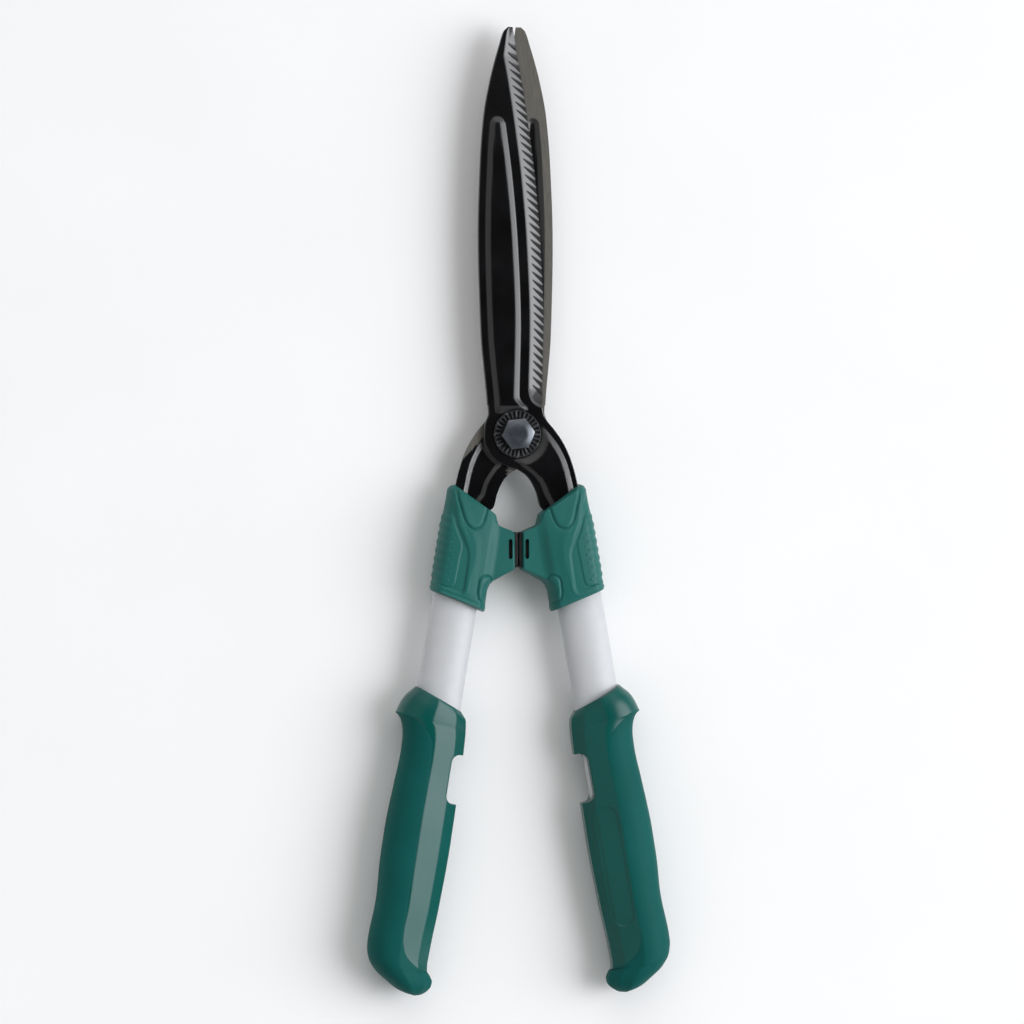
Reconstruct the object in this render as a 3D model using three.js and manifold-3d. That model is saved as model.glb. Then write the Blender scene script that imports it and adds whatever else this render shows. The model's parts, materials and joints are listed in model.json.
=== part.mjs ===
// Hedge shears: two ribbed steel blades on an M10 pivot bolt, oval aluminium tubes, moulded
// collars with rubber bumpers, and two-part grips with soft palm pads.
//
// Modelling frame, millimetres: the pivot axis is +Z through x = 0, y = 0, the plane between the
// two blades is z = 0, and +Y runs towards the blade tips. The front arm carries the upper blade
// and the right handle. The rear arm is the same arm turned half a turn about Y. The finished
// group is set down with the centre of its footprint at the origin and its lowest point at z = 0.

import * as THREE from 'three';
import { mergeVertices } from 'three/addons/utils/BufferGeometryUtils.js';
import { ConvexGeometry } from 'three/addons/geometries/ConvexGeometry.js';
import { LoftGeometry } from 'three/addons/geometries/LoftGeometry.js';
import Module from 'manifold-3d';

const wasm = await Module();
wasm.setup();

// ---------------------------------------------------------------------------
// Driving dimensions
// ---------------------------------------------------------------------------

const CLEARANCE = 0.3; // between pieces that are pushed together

// Blades
const BLADE_LENGTH = 238; // pivot centre to tip
const BACK_OFFSET = 22.2; // pivot centre line to the widest point of the blade's back
const EDGE_OFFSET = 16.35; // pivot centre line to the widest point of the cutting edge
const STEEL = 3; // sheet thickness
const BLADE_GAP = 0.6; // between the inner faces of the blades
const BACK_LAND = 4.6; // flat strip between the back and the rib
const EDGE_LAND = 6.2; // flat strip between the rib and the bevel
const RIB_HEIGHT = 1.2; // the pressed rib stands out by this, and is hollow inside
const RIB_SLOPE = 2; // width of the rib's sloping sides
const RIB_START = 19; // from the pivot centre to the rib's lower end
const RIB_END = 187; // from the pivot centre to the rib's rounded upper end
const BEVEL_WIDTH = 8.5; // ground bevel behind the cutting edge
const EDGE_THICKNESS = 0.5; // steel left at the cutting edge
const FLUTE_PITCH = 4.74; // sap flutes along the bevel
const FLUTE_WIDTH = 3.2;
const FLUTE_DEPTH = 0.7;
const FLUTE_START = 27; // from the pivot centre to the first flute
const BOSS_RADIUS = 19.6; // round boss about the pivot

// Pivot hardware
const BOLT_DIAMETER = 10;
const SPANNER_RATIO = 1.7; // across the flats of the bolt head and nut, for one of the bolt
const HEAD_HEIGHT = 6.4;
const HEAD_TURN = 6; // degrees the hexagon stands round from the X axis
const DISC_DIAMETER = 27.6; // toothed lock disc
const DISC_THICKNESS = 1.6;
const DISC_TEETH = 30;
const TOOTH_LENGTH = 4;
const TOOTH_DEPTH = 0.7;
const BUSH_WALL = 1.5;
const FRICTION_WASHER = 0.4; // thickness
const WASHER_DIAMETER = 24;
const WASHER_THICKNESS = 1.6;
const SPRING_WASHER_DIAMETER = 18;
const SPRING_WASHER_THICKNESS = 1.8;
const NUT_HEIGHT = 8;
const NYLON_HEIGHT = 1.8;
const SEAT = 0.05; // air between pieces clamped in the pivot stack

// Handles
const HANDLE_ANGLE = 9.54; // degrees each handle leans out when the shears are closed
const HANDLE_OFFSET = 20.4; // handle axis to the pivot, measured along X
const TUBE_WIDTH = 27;
const TUBE_THICKNESS = 16;
const TUBE_WALL = 1.3;
const TUBE_START = 52; // along the handle axis from the pivot's level
const TUBE_LENGTH = 250;
const TONGUE_WIDTH = 18; // flat tail of the blade inside the tube
const TONGUE_END = 96;
const SLEEVE_LENGTH = 52; // moulded sleeve between the tongue and the tube
const RIVET_DIAMETER = 5;
const RIVET_HEAD = 9;
const RIVET_HEAD_HEIGHT = 1.6;
const RIVET_STATIONS = [64, 86]; // along the handle axis

// Collars and bumpers
const COLLAR_START = 31.7; // outer corner of the collar's slanted top
const COLLAR_END = 95.3; // outer corner of its slanted bottom
const COLLAR_OUTER_WALL = 2.2; // over the tube's outer side
const COLLAR_INNER_WALL = 3.7; // over its inner side
const COLLAR_FACE_WALL = 5; // over its flat faces
const COLLAR_TOP_SLANT = 26; // degrees
const COLLAR_BOTTOM_SLANT = 13.3; // degrees
const BOSS_HALF = 9; // half the thickness of the bumper boss
const BUMPER_Y = -67.6; // centre of the bumper
const BUMPER_LENGTH = 21;
const BUMPER_FLAT = 15; // length of its contact face
const BUMPER_PROUD = 1.8; // how far it stands out of the collar
const BUMPER_HALF = 7; // half its thickness
const BUMPER_GAP = 0.3; // between the two contact faces when closed
const WINDOW_WIDTH = 2.3; // slot that shows the bumper's key
const WINDOW_LENGTH = 11.6;
const WINDOW_X = 4.9; // centre of the slot from the middle of the shears
const KEY_LENGTH = 13; // moulded tab that holds the bumper in the collar

// Grips
const TUBE_IN_GRIP = 150.6; // the tube reaches this far past the grip's outer top corner
const GRIP_LENGTH = 178.6;
const GRIP_FACE_WALL = 8; // over the tube's flat faces at the palm
const GRIP_TOP_SLANT = 20.6; // degrees
const PAD_THICKNESS = 2.5; // soft layer over the hard core
const PAD_EDGE = 1.2; // the soft layer starts this far outside the handle axis
const NOTCH_OFFSET = 35.6; // from the grip's top corner to the finger-side window
const NOTCH_LENGTH = 29;
const NOTCH_BARES = 1.4; // the window bares this much of the tube's side

// ---------------------------------------------------------------------------
// Values worked out from the driving dimensions
// ---------------------------------------------------------------------------

const leanCos = Math.cos(THREE.MathUtils.degToRad(HANDLE_ANGLE));
const leanSin = Math.sin(THREE.MathUtils.degToRad(HANDLE_ANGLE));
const innerFace = BLADE_GAP / 2;
const outerFace = innerFace + STEEL;
const bushDiameter = BOLT_DIAMETER + 2 * BUSH_WALL;
const spannerSize = SPANNER_RATIO * BOLT_DIAMETER;
const discSeat = outerFace + SEAT;
const headSeat = discSeat + DISC_THICKNESS + SEAT;
const washerSeat = -outerFace - SEAT;
const springSeat = washerSeat - WASHER_THICKNESS - SEAT;
const nutSeat = springSeat - SPRING_WASHER_THICKNESS - SEAT;
const tubeEnd = TUBE_START + TUBE_LENGTH;
const tubeSide = TUBE_WIDTH / 2;
const tubeFace = TUBE_THICKNESS / 2;
const collarOut = tubeSide + COLLAR_OUTER_WALL;
const collarIn = tubeSide + COLLAR_INNER_WALL;
const collarHalf = tubeFace + COLLAR_FACE_WALL;
const gripStart = tubeEnd - TUBE_IN_GRIP;
const gripEnd = gripStart + GRIP_LENGTH;
const gripHalf = tubeFace + GRIP_FACE_WALL;
const notchStart = gripStart + NOTCH_OFFSET;
const notchFloor = tubeSide - NOTCH_BARES;
const boltEnd = Math.min(-gripHalf, nutSeat - NUT_HEIGHT - 1);
const bumperFace = BUMPER_GAP / 2;
const bossFace = bumperFace + BUMPER_PROUD;

// ---------------------------------------------------------------------------
// Helpers
// ---------------------------------------------------------------------------

// A point given in the handle's own terms: out from its axis, and along it from the pivot's level.
function onHandle(out, along) {
	return new THREE.Vector2(
		HANDLE_OFFSET + out * leanCos + along * leanSin,
		out * leanSin - along * leanCos
	);
}

// Monotone curve through [position, value] pairs, so corners keep their shape without overshoot.
function smoothLine(points) {
	const chord = (i) => (points[i + 1][1] - points[i][1]) / (points[i + 1][0] - points[i][0]);
	const last = points.length - 1;
	const slope = points.map((point, i) => {
		if (i === 0) return chord(0);
		if (i === last) return chord(last - 1);
		const before = chord(i - 1);
		const after = chord(i);
		return before * after <= 0 ? 0 : (2 * before * after) / (before + after);
	});
	return (position) => {
		const x = THREE.MathUtils.clamp(position, points[0][0], points[last][0]);
		let i = 0;
		while (i < last - 1 && x > points[i + 1][0]) i += 1;
		const step = points[i + 1][0] - points[i][0];
		const u = (x - points[i][0]) / step;
		const v = 1 - u;
		return v * v * (1 + 2 * u) * points[i][1] + u * u * (3 - 2 * u) * points[i + 1][1]
			+ u * v * step * (v * slope[i] - u * slope[i + 1]);
	};
}

// three.js geometry to a manifold-3d solid.
function solid(geometry) {
	const bare = new THREE.BufferGeometry();
	bare.setAttribute('position', geometry.attributes.position.clone());
	bare.setIndex(geometry.index);
	const merged = mergeVertices(bare, 1e-5);
	return new wasm.Manifold(new wasm.Mesh({
		numProp: 3,
		vertProperties: Float32Array.from(merged.attributes.position.array),
		triVerts: Uint32Array.from(merged.index.array)
	}));
}

// manifold-3d solid back to a three.js geometry.
function geometryOf(body) {
	const mesh = body.getMesh();
	const geometry = new THREE.BufferGeometry();
	geometry.setAttribute('position', new THREE.Float32BufferAttribute(mesh.vertProperties, 3));
	geometry.setIndex(new THREE.Uint32BufferAttribute(mesh.triVerts, 1));
	geometry.computeVertexNormals();
	return geometry;
}

// A geometry moved bodily, for use as a cutting or joining tool.
function placed(geometry, x, y, z, turnZ = 0) {
	return geometry.clone().rotateZ(turnZ).translate(x, y, z);
}

// A flat outline standing between two heights.
function slab(shape, low, high, curveSegments = 5) {
	const depth = high - low;
	return new THREE.ExtrudeGeometry(shape, { depth, bevelEnabled: false, curveSegments })
		.translate(0, 0, low);
}

// A round piece about Z from [radius, height] pairs that go up its outside from the axis.
function turned(profile, segments = 24) {
	const points = profile.map(([radius, height]) => new THREE.Vector2(radius, height));
	return new THREE.LatheGeometry(points, segments).rotateX(Math.PI / 2);
}

// A plain ring about Z.
function ring(innerDiameter, outerDiameter, low, high, segments = 24) {
	const inner = innerDiameter / 2;
	const outer = outerDiameter / 2;
	return turned([[inner, low], [outer, low], [outer, high], [inner, high], [inner, low]], segments);
}

// A drill about Z.
function drill(diameter, low, high, segments = 24) {
	return new THREE.CylinderGeometry(diameter / 2, diameter / 2, high - low, segments)
		.rotateX(Math.PI / 2).translate(0, 0, (high + low) / 2);
}

// An oval prism along the handle axis, in handle terms: x out, -y along, z up.
function ovalBar(width, thickness, from, to, segments = 14) {
	const shape = new THREE.Shape().absellipse(0, 0, width / 2, thickness / 2, 0, 2 * Math.PI);
	return new THREE.ExtrudeGeometry(shape, {
		depth: to - from, bevelEnabled: false, curveSegments: segments
	}).rotateX(Math.PI / 2).translate(0, -from, 0);
}

// From handle terms to the pivot frame.
function leaned(geometry) {
	return geometry.clone()
		.rotateZ(THREE.MathUtils.degToRad(HANDLE_ANGLE))
		.translate(HANDLE_OFFSET, 0, 0);
}

// A block that takes everything above (or below) a slanted line across the handle.
function slantCut(along, out, slant, side) {
	const reach = 200;
	const block = new THREE.BoxGeometry(reach, reach, reach).translate(0, side * reach / 2, 0);
	return block.rotateZ(THREE.MathUtils.degToRad(slant)).translate(out, -along, 0);
}

function rounded(points) {
	return points.map(([x, y]) => new THREE.Vector2(x, y));
}

// ---------------------------------------------------------------------------
// Blades
// ---------------------------------------------------------------------------

const backLine = smoothLine([
	[0, -0.76], [0.05, -0.77], [0.25, -0.94], [0.48, -1], [0.67, -0.936], [0.78, -0.84],
	[0.865, -0.676], [0.96, -0.4], [0.99, -0.29], [1, -0.18]
]);

const edgeLine = smoothLine([
	[0, 0.93], [0.07, 0.932], [0.28, 1], [0.46, 0.913], [0.61, 0.75], [0.74, 0.53],
	[0.865, 0.267], [0.93, 0.1], [0.985, -0.025], [1, -0.06]
]);

// One section across the blade, as [x, height] pairs from the back over the outside to the edge.
function bladeSection(along) {
	const back = BACK_OFFSET * backLine(along / BLADE_LENGTH);
	const edge = EDGE_OFFSET * edgeLine(along / BLADE_LENGTH);
	const width = edge - back;
	const bevel = Math.min(BEVEL_WIDTH, width * 0.7);
	const crest = edge - bevel;
	const flat = width - bevel;
	const ribFrom = back + Math.min(BACK_LAND, flat * 0.3);
	const ribTo = crest - Math.min(EDGE_LAND, flat * 0.4);
	const fade = THREE.MathUtils.smoothstep(RIB_END - along, 0, 8)
		* THREE.MathUtils.smoothstep(along - RIB_START, 0, 8);
	const rise = RIB_HEIGHT * Math.max(fade, 0.02);
	const middle = (ribFrom + ribTo) / 2;
	const foot = (ribTo - ribFrom) / 2 * (0.6 + 0.4 * fade);
	const top = foot - Math.min(RIB_SLOPE, foot * 0.5);
	const z = innerFace;
	return [
		[back, z], [back, z + STEEL], [middle - foot, z + STEEL], [middle - top, z + STEEL + rise],
		[middle + top, z + STEEL + rise], [middle + foot, z + STEEL], [crest, z + STEEL],
		[edge, z + EDGE_THICKNESS], [edge, z], [middle + foot * 0.96, z],
		[middle + top * 0.96, z + rise], [middle - top * 0.96, z + rise], [middle - foot * 0.96, z]
	];
}

function bladeLoft() {
	const base = 6;
	const stations = [base, RIB_START, RIB_START + 4, RIB_START + 8];
	const ribSteps = 10;
	const ribLength = RIB_END - RIB_START - 16;
	for (let i = 1; i <= ribSteps; i += 1) stations.push(RIB_START + 8 + ribLength * i / ribSteps);
	stations.push(RIB_END - 4, RIB_END);
	const tipSteps = 6;
	for (let i = 1; i <= tipSteps; i += 1) {
		stations.push(RIB_END + (BLADE_LENGTH * 0.985 - RIB_END) * i / tipSteps);
	}
	stations.push(BLADE_LENGTH);
	const sections = stations.map(
		(along) => bladeSection(along).map(([x, z]) => new THREE.Vector3(x, along, z))
	);
	return new LoftGeometry(sections, { capStart: true, capEnd: true });
}

// Boss, swan neck and tongue in one flat outline. The tongue and neck can be grown for a clearance.
function neckShape(grow = 0) {
	const side = TONGUE_WIDTH / 2 + grow;
	const shape = new THREE.Shape();
	shape.moveTo(14.8, 17);
	shape.lineTo(-10, 17);
	shape.absarc(0, 0, BOSS_RADIUS, THREE.MathUtils.degToRad(120), THREE.MathUtils.degToRad(255));
	shape.splineThru(rounded([
		[0, -20.7], [6.6 - grow, -25.6], [11.3 - grow, -34.7], [13 - grow, -40.1]
	]));
	const shoulder = onHandle(-side, 45);
	shape.quadraticCurveTo(14 - grow, shoulder.y + 2.5, shoulder.x, shoulder.y);
	const tailIn = onHandle(-side, TONGUE_END + grow);
	const tailOut = onHandle(side, TONGUE_END + grow);
	const neckOut = onHandle(side, 50);
	shape.lineTo(tailIn.x, tailIn.y);
	shape.lineTo(tailOut.x, tailOut.y);
	shape.lineTo(neckOut.x, neckOut.y);
	shape.splineThru(rounded([
		[36.2 + grow, -30], [32.8 + grow, -17.9], [28.8, -7.8], [23.4, 0.9], [17.3, 8.6], [15, 12.6]
	]));
	return shape;
}

// One flute: a dart that starts on the bevel and deepens towards the cutting edge.
function flute(along) {
	const edge = EDGE_OFFSET * edgeLine(along / BLADE_LENGTH);
	const fall = (STEEL - EDGE_THICKNESS) / BEVEL_WIDTH;
	const height = (x) => innerFace + EDGE_THICKNESS + (edge - x) * fall;
	const startX = edge - BEVEL_WIDTH * 0.72;
	const endX = edge + 1.5;
	const drop = (endX - startX) * 0.8;
	return new ConvexGeometry([
		new THREE.Vector3(startX, along + drop / 2, height(startX) + 0.01),
		new THREE.Vector3(endX, along - drop / 2 + FLUTE_WIDTH / 2, height(endX) + 0.8),
		new THREE.Vector3(endX, along - drop / 2 - FLUTE_WIDTH / 2, height(endX) + 0.8),
		new THREE.Vector3(endX, along - drop / 2, height(endX) - FLUTE_DEPTH)
	]);
}

function bladeGeometry() {
	const plate = slab(neckShape(), innerFace, outerFace);
	let blade = solid(bladeLoft()).add(solid(plate));
	blade = blade.subtract(solid(drill(bushDiameter + CLEARANCE, -1, outerFace + 1)));
	for (let y = FLUTE_START; y < BLADE_LENGTH * 0.965; y += FLUTE_PITCH) {
		blade = blade.subtract(solid(flute(y)));
	}
	for (const station of RIVET_STATIONS) {
		const hole = drill(RIVET_DIAMETER + CLEARANCE, -1, outerFace + 1, 12);
		blade = blade.subtract(solid(leaned(placed(hole, 0, -station, 0))));
	}
	return geometryOf(blade);
}

// ---------------------------------------------------------------------------
// Pivot hardware
// ---------------------------------------------------------------------------

function hexPrism(low, high) {
	const radius = spannerSize / 2 / Math.cos(Math.PI / 6);
	return new THREE.CylinderGeometry(radius, radius, high - low, 6)
		.rotateX(Math.PI / 2)
		.rotateZ(THREE.MathUtils.degToRad(90 + HEAD_TURN))
		.translate(0, 0, (high + low) / 2);
}

function boltGeometry() {
	const top = headSeat + HEAD_HEIGHT;
	const flat = spannerSize / 2 * 0.9;
	const corner = spannerSize / 2 * 1.17;
	const chamfer = turned([[0, headSeat], [corner, headSeat], [corner, top - 1.6], [flat, top], [0, top]]);
	const shank = BOLT_DIAMETER / 2;
	const stem = turned([
		[0, boltEnd], [shank - 1, boltEnd], [shank, boltEnd + 1], [shank, headSeat + 1], [0, headSeat + 1]
	]);
	return geometryOf(solid(hexPrism(headSeat, top)).intersect(solid(chamfer)).add(solid(stem)));
}

function lockDiscGeometry() {
	const rim = DISC_DIAMETER / 2;
	const bore = BOLT_DIAMETER / 2 + CLEARANCE;
	const top = discSeat + DISC_THICKNESS;
	let disc = solid(turned([
		[bore, discSeat], [rim, discSeat], [rim, top - 0.4], [rim - 0.4, top], [bore, top], [bore, discSeat]
	], DISC_TEETH));
	const tooth = new THREE.BoxGeometry(TOOTH_LENGTH * 2, 1.2, TOOTH_DEPTH * 2);
	for (let i = 0; i < DISC_TEETH; i += 1) {
		const turn = 2 * Math.PI * i / DISC_TEETH;
		const gap = tooth.clone().translate(rim, 0, 0);
		disc = disc.subtract(solid(placed(gap, 0, 0, top, turn)));
	}
	return geometryOf(disc);
}

function pivotBushGeometry() {
	return ring(BOLT_DIAMETER + CLEARANCE, bushDiameter, -outerFace, outerFace);
}

function frictionWasherGeometry() {
	const half = FRICTION_WASHER / 2;
	return ring(bushDiameter + CLEARANCE, 2 * BOSS_RADIUS - 6, -half, half);
}

function backWasherGeometry() {
	return ring(BOLT_DIAMETER + CLEARANCE, WASHER_DIAMETER, washerSeat - WASHER_THICKNESS, washerSeat);
}

function springWasherGeometry() {
	const low = springSeat - SPRING_WASHER_THICKNESS;
	const coil = ring(BOLT_DIAMETER + CLEARANCE, SPRING_WASHER_DIAMETER, low, springSeat);
	const slit = new THREE.BoxGeometry(SPRING_WASHER_DIAMETER, 1, SPRING_WASHER_THICKNESS * 4)
		.rotateX(THREE.MathUtils.degToRad(25))
		.translate(SPRING_WASHER_DIAMETER / 2, 0, (low + springSeat) / 2);
	return geometryOf(solid(coil).subtract(solid(slit)));
}

function lockNutGeometry() {
	const low = nutSeat - NUT_HEIGHT;
	const across = spannerSize / 2;
	const crown = turned([
		[0, low], [across * 0.86, low], [across * 0.92, low + 2], [across * 1.17, low + 2.6],
		[across * 1.17, nutSeat - 1], [across * 0.95, nutSeat], [0, nutSeat]
	]);
	const nylonRoom = drill(bushDiameter + CLEARANCE, low + 0.4, low + 0.4 + NYLON_HEIGHT + CLEARANCE);
	const thread = drill(BOLT_DIAMETER + CLEARANCE, low - 1, nutSeat + 1);
	return geometryOf(solid(hexPrism(low, nutSeat)).intersect(solid(crown))
		.subtract(solid(thread)).subtract(solid(nylonRoom)));
}

function nylonRingGeometry() {
	const low = nutSeat - NUT_HEIGHT + 0.5;
	return ring(BOLT_DIAMETER + 0.1, bushDiameter, low, low + NYLON_HEIGHT);
}

// ---------------------------------------------------------------------------
// Tube, sleeve and rivets, in handle terms
// ---------------------------------------------------------------------------

const tubeBoreWidth = TUBE_WIDTH - 2 * TUBE_WALL;
const tubeBoreThickness = TUBE_THICKNESS - 2 * TUBE_WALL;

function rivetHoles(body) {
	let result = body;
	for (const station of RIVET_STATIONS) {
		const hole = drill(RIVET_DIAMETER + CLEARANCE, -TUBE_THICKNESS, TUBE_THICKNESS, 12);
		result = result.subtract(solid(placed(hole, 0, -station, 0)));
	}
	return result;
}

function tubeGeometry() {
	const outside = solid(ovalBar(TUBE_WIDTH, TUBE_THICKNESS, TUBE_START, tubeEnd));
	const inside = solid(ovalBar(tubeBoreWidth, tubeBoreThickness, TUBE_START - 1, tubeEnd + 1));
	return geometryOf(rivetHoles(outside.subtract(inside)));
}

function sleeveGeometry() {
	const end = TUBE_START + SLEEVE_LENGTH;
	const width = tubeBoreWidth - CLEARANCE;
	const thickness = tubeBoreThickness - CLEARANCE;
	const body = solid(ovalBar(width, thickness, TUBE_START, end, 24));
	const slotWidth = TONGUE_WIDTH + CLEARANCE;
	const slotLength = TONGUE_END + CLEARANCE - TUBE_START + 1;
	const slotHeight = STEEL + CLEARANCE;
	const slot = new THREE.BoxGeometry(slotWidth, slotLength, slotHeight)
		.translate(0, 1 - TUBE_START - slotLength / 2, innerFace + STEEL / 2);
	return geometryOf(rivetHoles(body.subtract(solid(slot))));
}

function rivetGeometry() {
	const shank = RIVET_DIAMETER / 2;
	const head = RIVET_HEAD / 2;
	const seat = TUBE_THICKNESS / 2 + SEAT;
	const top = seat + RIVET_HEAD_HEIGHT;
	return turned([
		[0, -top], [head * 0.6, -top], [head, -seat - 0.5], [head, -seat], [shank, -seat],
		[shank, seat], [head, seat], [head, seat + 0.5], [head * 0.6, top], [0, top]
	], 12);
}

// ---------------------------------------------------------------------------
// Collar and bumper
// ---------------------------------------------------------------------------

const collarHalfLine = smoothLine([[0, 0.62], [0.2, 0.8], [0.42, 0.97], [0.6, 1], [1, 0.96]]);

// Octagonal section across the collar, counter-clockwise from the outside.
function collarSection(along) {
	const share = (along - COLLAR_START) / (COLLAR_END - COLLAR_START);
	const half = collarHalf * collarHalfLine(share);
	const out = collarOut - 1.5 * (1 - THREE.MathUtils.smoothstep(share, 0, 0.35));
	const into = collarIn - 3 * (1 - THREE.MathUtils.smoothstep(share, 0.1, 0.5));
	const flank = half * 0.45;
	return [
		[out, flank], [out - 4, half * 0.9], [out - 8, half], [8 - into, half], [4 - into, half * 0.9],
		[-into, flank], [-into, -flank], [4 - into, -half * 0.9], [8 - into, -half], [out - 8, -half],
		[out - 4, -half * 0.9], [out, -flank]
	].map(([x, z]) => new THREE.Vector3(x, -along, z));
}

// The boss that reaches in to the middle of the shears and holds the bumper.
function bumperBoss() {
	const top = BUMPER_Y + BUMPER_LENGTH / 2;
	const bottom = BUMPER_Y - BUMPER_LENGTH / 2;
	const root = onHandle(0, 60);
	const foot = onHandle(-collarIn + 1, 90);
	const shape = new THREE.Shape();
	shape.moveTo(bossFace, bottom);
	shape.lineTo(foot.x - 2.5, foot.y + 4);
	shape.quadraticCurveTo(foot.x, foot.y + 2, foot.x, foot.y);
	shape.lineTo(root.x, foot.y);
	shape.lineTo(root.x, root.y + 14);
	const shoulder = onHandle(-13.5, 45.5);
	shape.lineTo(shoulder.x, shoulder.y);
	shape.quadraticCurveTo(shoulder.x - 1.2, top + 3.5, shoulder.x - 3.6, top + 2.4);
	shape.lineTo(bossFace, top);
	return slab(shape, -BOSS_HALF, BOSS_HALF);
}

function bumperPocket() {
	const depth = WINDOW_X + WINDOW_WIDTH / 2 + 2 - bossFace;
	const pocket = new THREE.BoxGeometry(depth * 2, KEY_LENGTH + CLEARANCE, 8 + CLEARANCE);
	return placed(pocket, bossFace, BUMPER_Y, 0);
}

function windowShape(grow) {
	const half = WINDOW_WIDTH / 2 + grow;
	const straight = WINDOW_LENGTH / 2 - WINDOW_WIDTH / 2;
	const shape = new THREE.Shape();
	shape.absarc(WINDOW_X, BUMPER_Y + straight, half, 0, Math.PI);
	shape.absarc(WINDOW_X, BUMPER_Y - straight, half, Math.PI, 2 * Math.PI);
	return shape;
}

function collarGeometry() {
	const stations = [COLLAR_START - 12, COLLAR_START, 40, 50, 60, 72, COLLAR_END - 4, COLLAR_END + 10];
	const loft = new LoftGeometry(stations.map(collarSection), { capStart: true, capEnd: true });
	let sleeve = solid(loft);
	sleeve = sleeve.subtract(solid(slantCut(COLLAR_START, collarOut - 1.5, COLLAR_TOP_SLANT, 1)));
	sleeve = sleeve.subtract(solid(slantCut(COLLAR_END, collarOut, COLLAR_BOTTOM_SLANT, -1)));
	const bore = ovalBar(
		TUBE_WIDTH + CLEARANCE, TUBE_THICKNESS + CLEARANCE, TUBE_START - CLEARANCE, COLLAR_END + 20
	);
	const neckRoom = slab(neckShape(CLEARANCE), innerFace - CLEARANCE, outerFace + CLEARANCE);
	let collar = solid(leaned(geometryOf(sleeve)));
	collar = collar.add(solid(bumperBoss()));
	collar = collar.subtract(solid(leaned(bore))).subtract(solid(neckRoom));
	collar = collar.subtract(solid(bumperPocket()));
	collar = collar.subtract(solid(slab(windowShape(0), -collarHalf, collarHalf)));
	const headRoom = TUBE_THICKNESS / 2 + RIVET_HEAD_HEIGHT + 2 * CLEARANCE;
	for (const station of RIVET_STATIONS) {
		const room = drill(RIVET_HEAD + 2 * CLEARANCE, -headRoom, headRoom, 12);
		collar = collar.subtract(solid(leaned(placed(room, 0, -station, 0))));
	}
	return geometryOf(collar);
}

// Rubber bumper: a pad on the boss, a tab in its pocket, and keys that fill the window.
function bumperGeometry() {
	const length = BUMPER_LENGTH / 2 - 0.2;
	const flat = BUMPER_FLAT / 2;
	const seat = bossFace - 0.1;
	const profile = new THREE.Shape();
	profile.moveTo(seat, BUMPER_Y - length);
	profile.lineTo(seat, BUMPER_Y + length);
	profile.quadraticCurveTo(bumperFace + 0.3, BUMPER_Y + length - 0.4, bumperFace, BUMPER_Y + flat);
	profile.lineTo(bumperFace, BUMPER_Y - flat);
	profile.quadraticCurveTo(bumperFace + 0.3, BUMPER_Y - length + 0.4, seat, BUMPER_Y - length);
	const pad = slab(profile, -BUMPER_HALF, BUMPER_HALF, 4);
	const reach = WINDOW_X + WINDOW_WIDTH / 2 + 1.5 - bumperFace - 0.5;
	const tab = new THREE.BoxGeometry(reach, KEY_LENGTH - CLEARANCE, 8 - CLEARANCE)
		.translate(bumperFace + 0.5 + reach / 2, BUMPER_Y, 0);
	const keys = slab(windowShape(-CLEARANCE), -BOSS_HALF + 1, BOSS_HALF - 1);
	return geometryOf(solid(pad).add(solid(tab)).add(solid(keys)));
}

// ---------------------------------------------------------------------------
// Grip and palm pad, in handle terms
// ---------------------------------------------------------------------------

// Share of the grip's length against how far the palm side stands out past the tube's side.
const palmWall = smoothLine([
	[-0.02, 0], [0, 1.1], [0.05, 8.3], [0.085, 10.5], [0.1, 9.7], [0.12, 6.9], [0.16, 4.6],
	[0.205, 4], [0.32, 4.9], [0.47, 6.3], [0.57, 6], [0.71, 4.5], [0.85, 6], [0.885, 5.2],
	[0.926, 1.7], [0.96, -5.5], [0.989, -16.7], [1, -23.5]
]);

// The same for the finger side.
const fingerWall = smoothLine([
	[-0.02, 1.4], [0.07, 2.7], [0.14, 4.9], [0.2, 4.9], [0.37, 5.8], [0.875, 5.8],
	[0.9, 4.3], [0.912, 4.3], [0.945, 8.3], [0.96, 7.7], [0.975, 5], [0.99, 3.5], [1, 0.1]
]);

const palmLine = (share) => tubeSide + palmWall(share);
const fingerLine = (share) => tubeSide + fingerWall(share);

// Share of the half thickness along the grip.
const gripHalfLine = smoothLine([
	[-0.02, 0.86], [0.085, 0.97], [0.14, 0.9], [0.25, 0.9], [0.45, 1], [0.86, 1], [0.92, 0.93],
	[0.96, 0.78], [0.985, 0.55], [1, 0.2]
]);

const WIDE_REACH = 18; // sections narrower than this take a thinner soft layer
const facetEdge = 0.11; // shares of the width, from the finger side
const landEdge = 0.43;
const crownEdge = 0.53;

// One section across the grip, counter-clockwise from the palm side.
function gripSection(share, inset) {
	const along = gripStart + (GRIP_LENGTH - inset) * share;
	const reach = (palmLine(share) + fingerLine(share)) / 2;
	const tuck = Math.min(1, reach / WIDE_REACH);
	const palm = palmLine(share) - inset * tuck;
	const finger = -fingerLine(share) + inset * tuck;
	const half = (gripHalf - inset) * gripHalfLine(share);
	const at = (portion) => finger + portion * (palm - finger);
	const crown = at(crownEdge);
	const steps = [16, 40, 66, 90].map(THREE.MathUtils.degToRad);
	const front = steps.map((turn) => [
		crown + (palm - crown) * Math.cos(turn) ** 0.9,
		half * Math.sin(turn) ** 0.9
	]);
	front.push([at(landEdge), half], [at(facetEdge), half * 0.7], [finger, half * 0.3]);
	const back = front.map(([x, z]) => [x, -z]).reverse();
	return front.concat(back).map(([x, z]) => new THREE.Vector3(x, -along, z));
}

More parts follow.
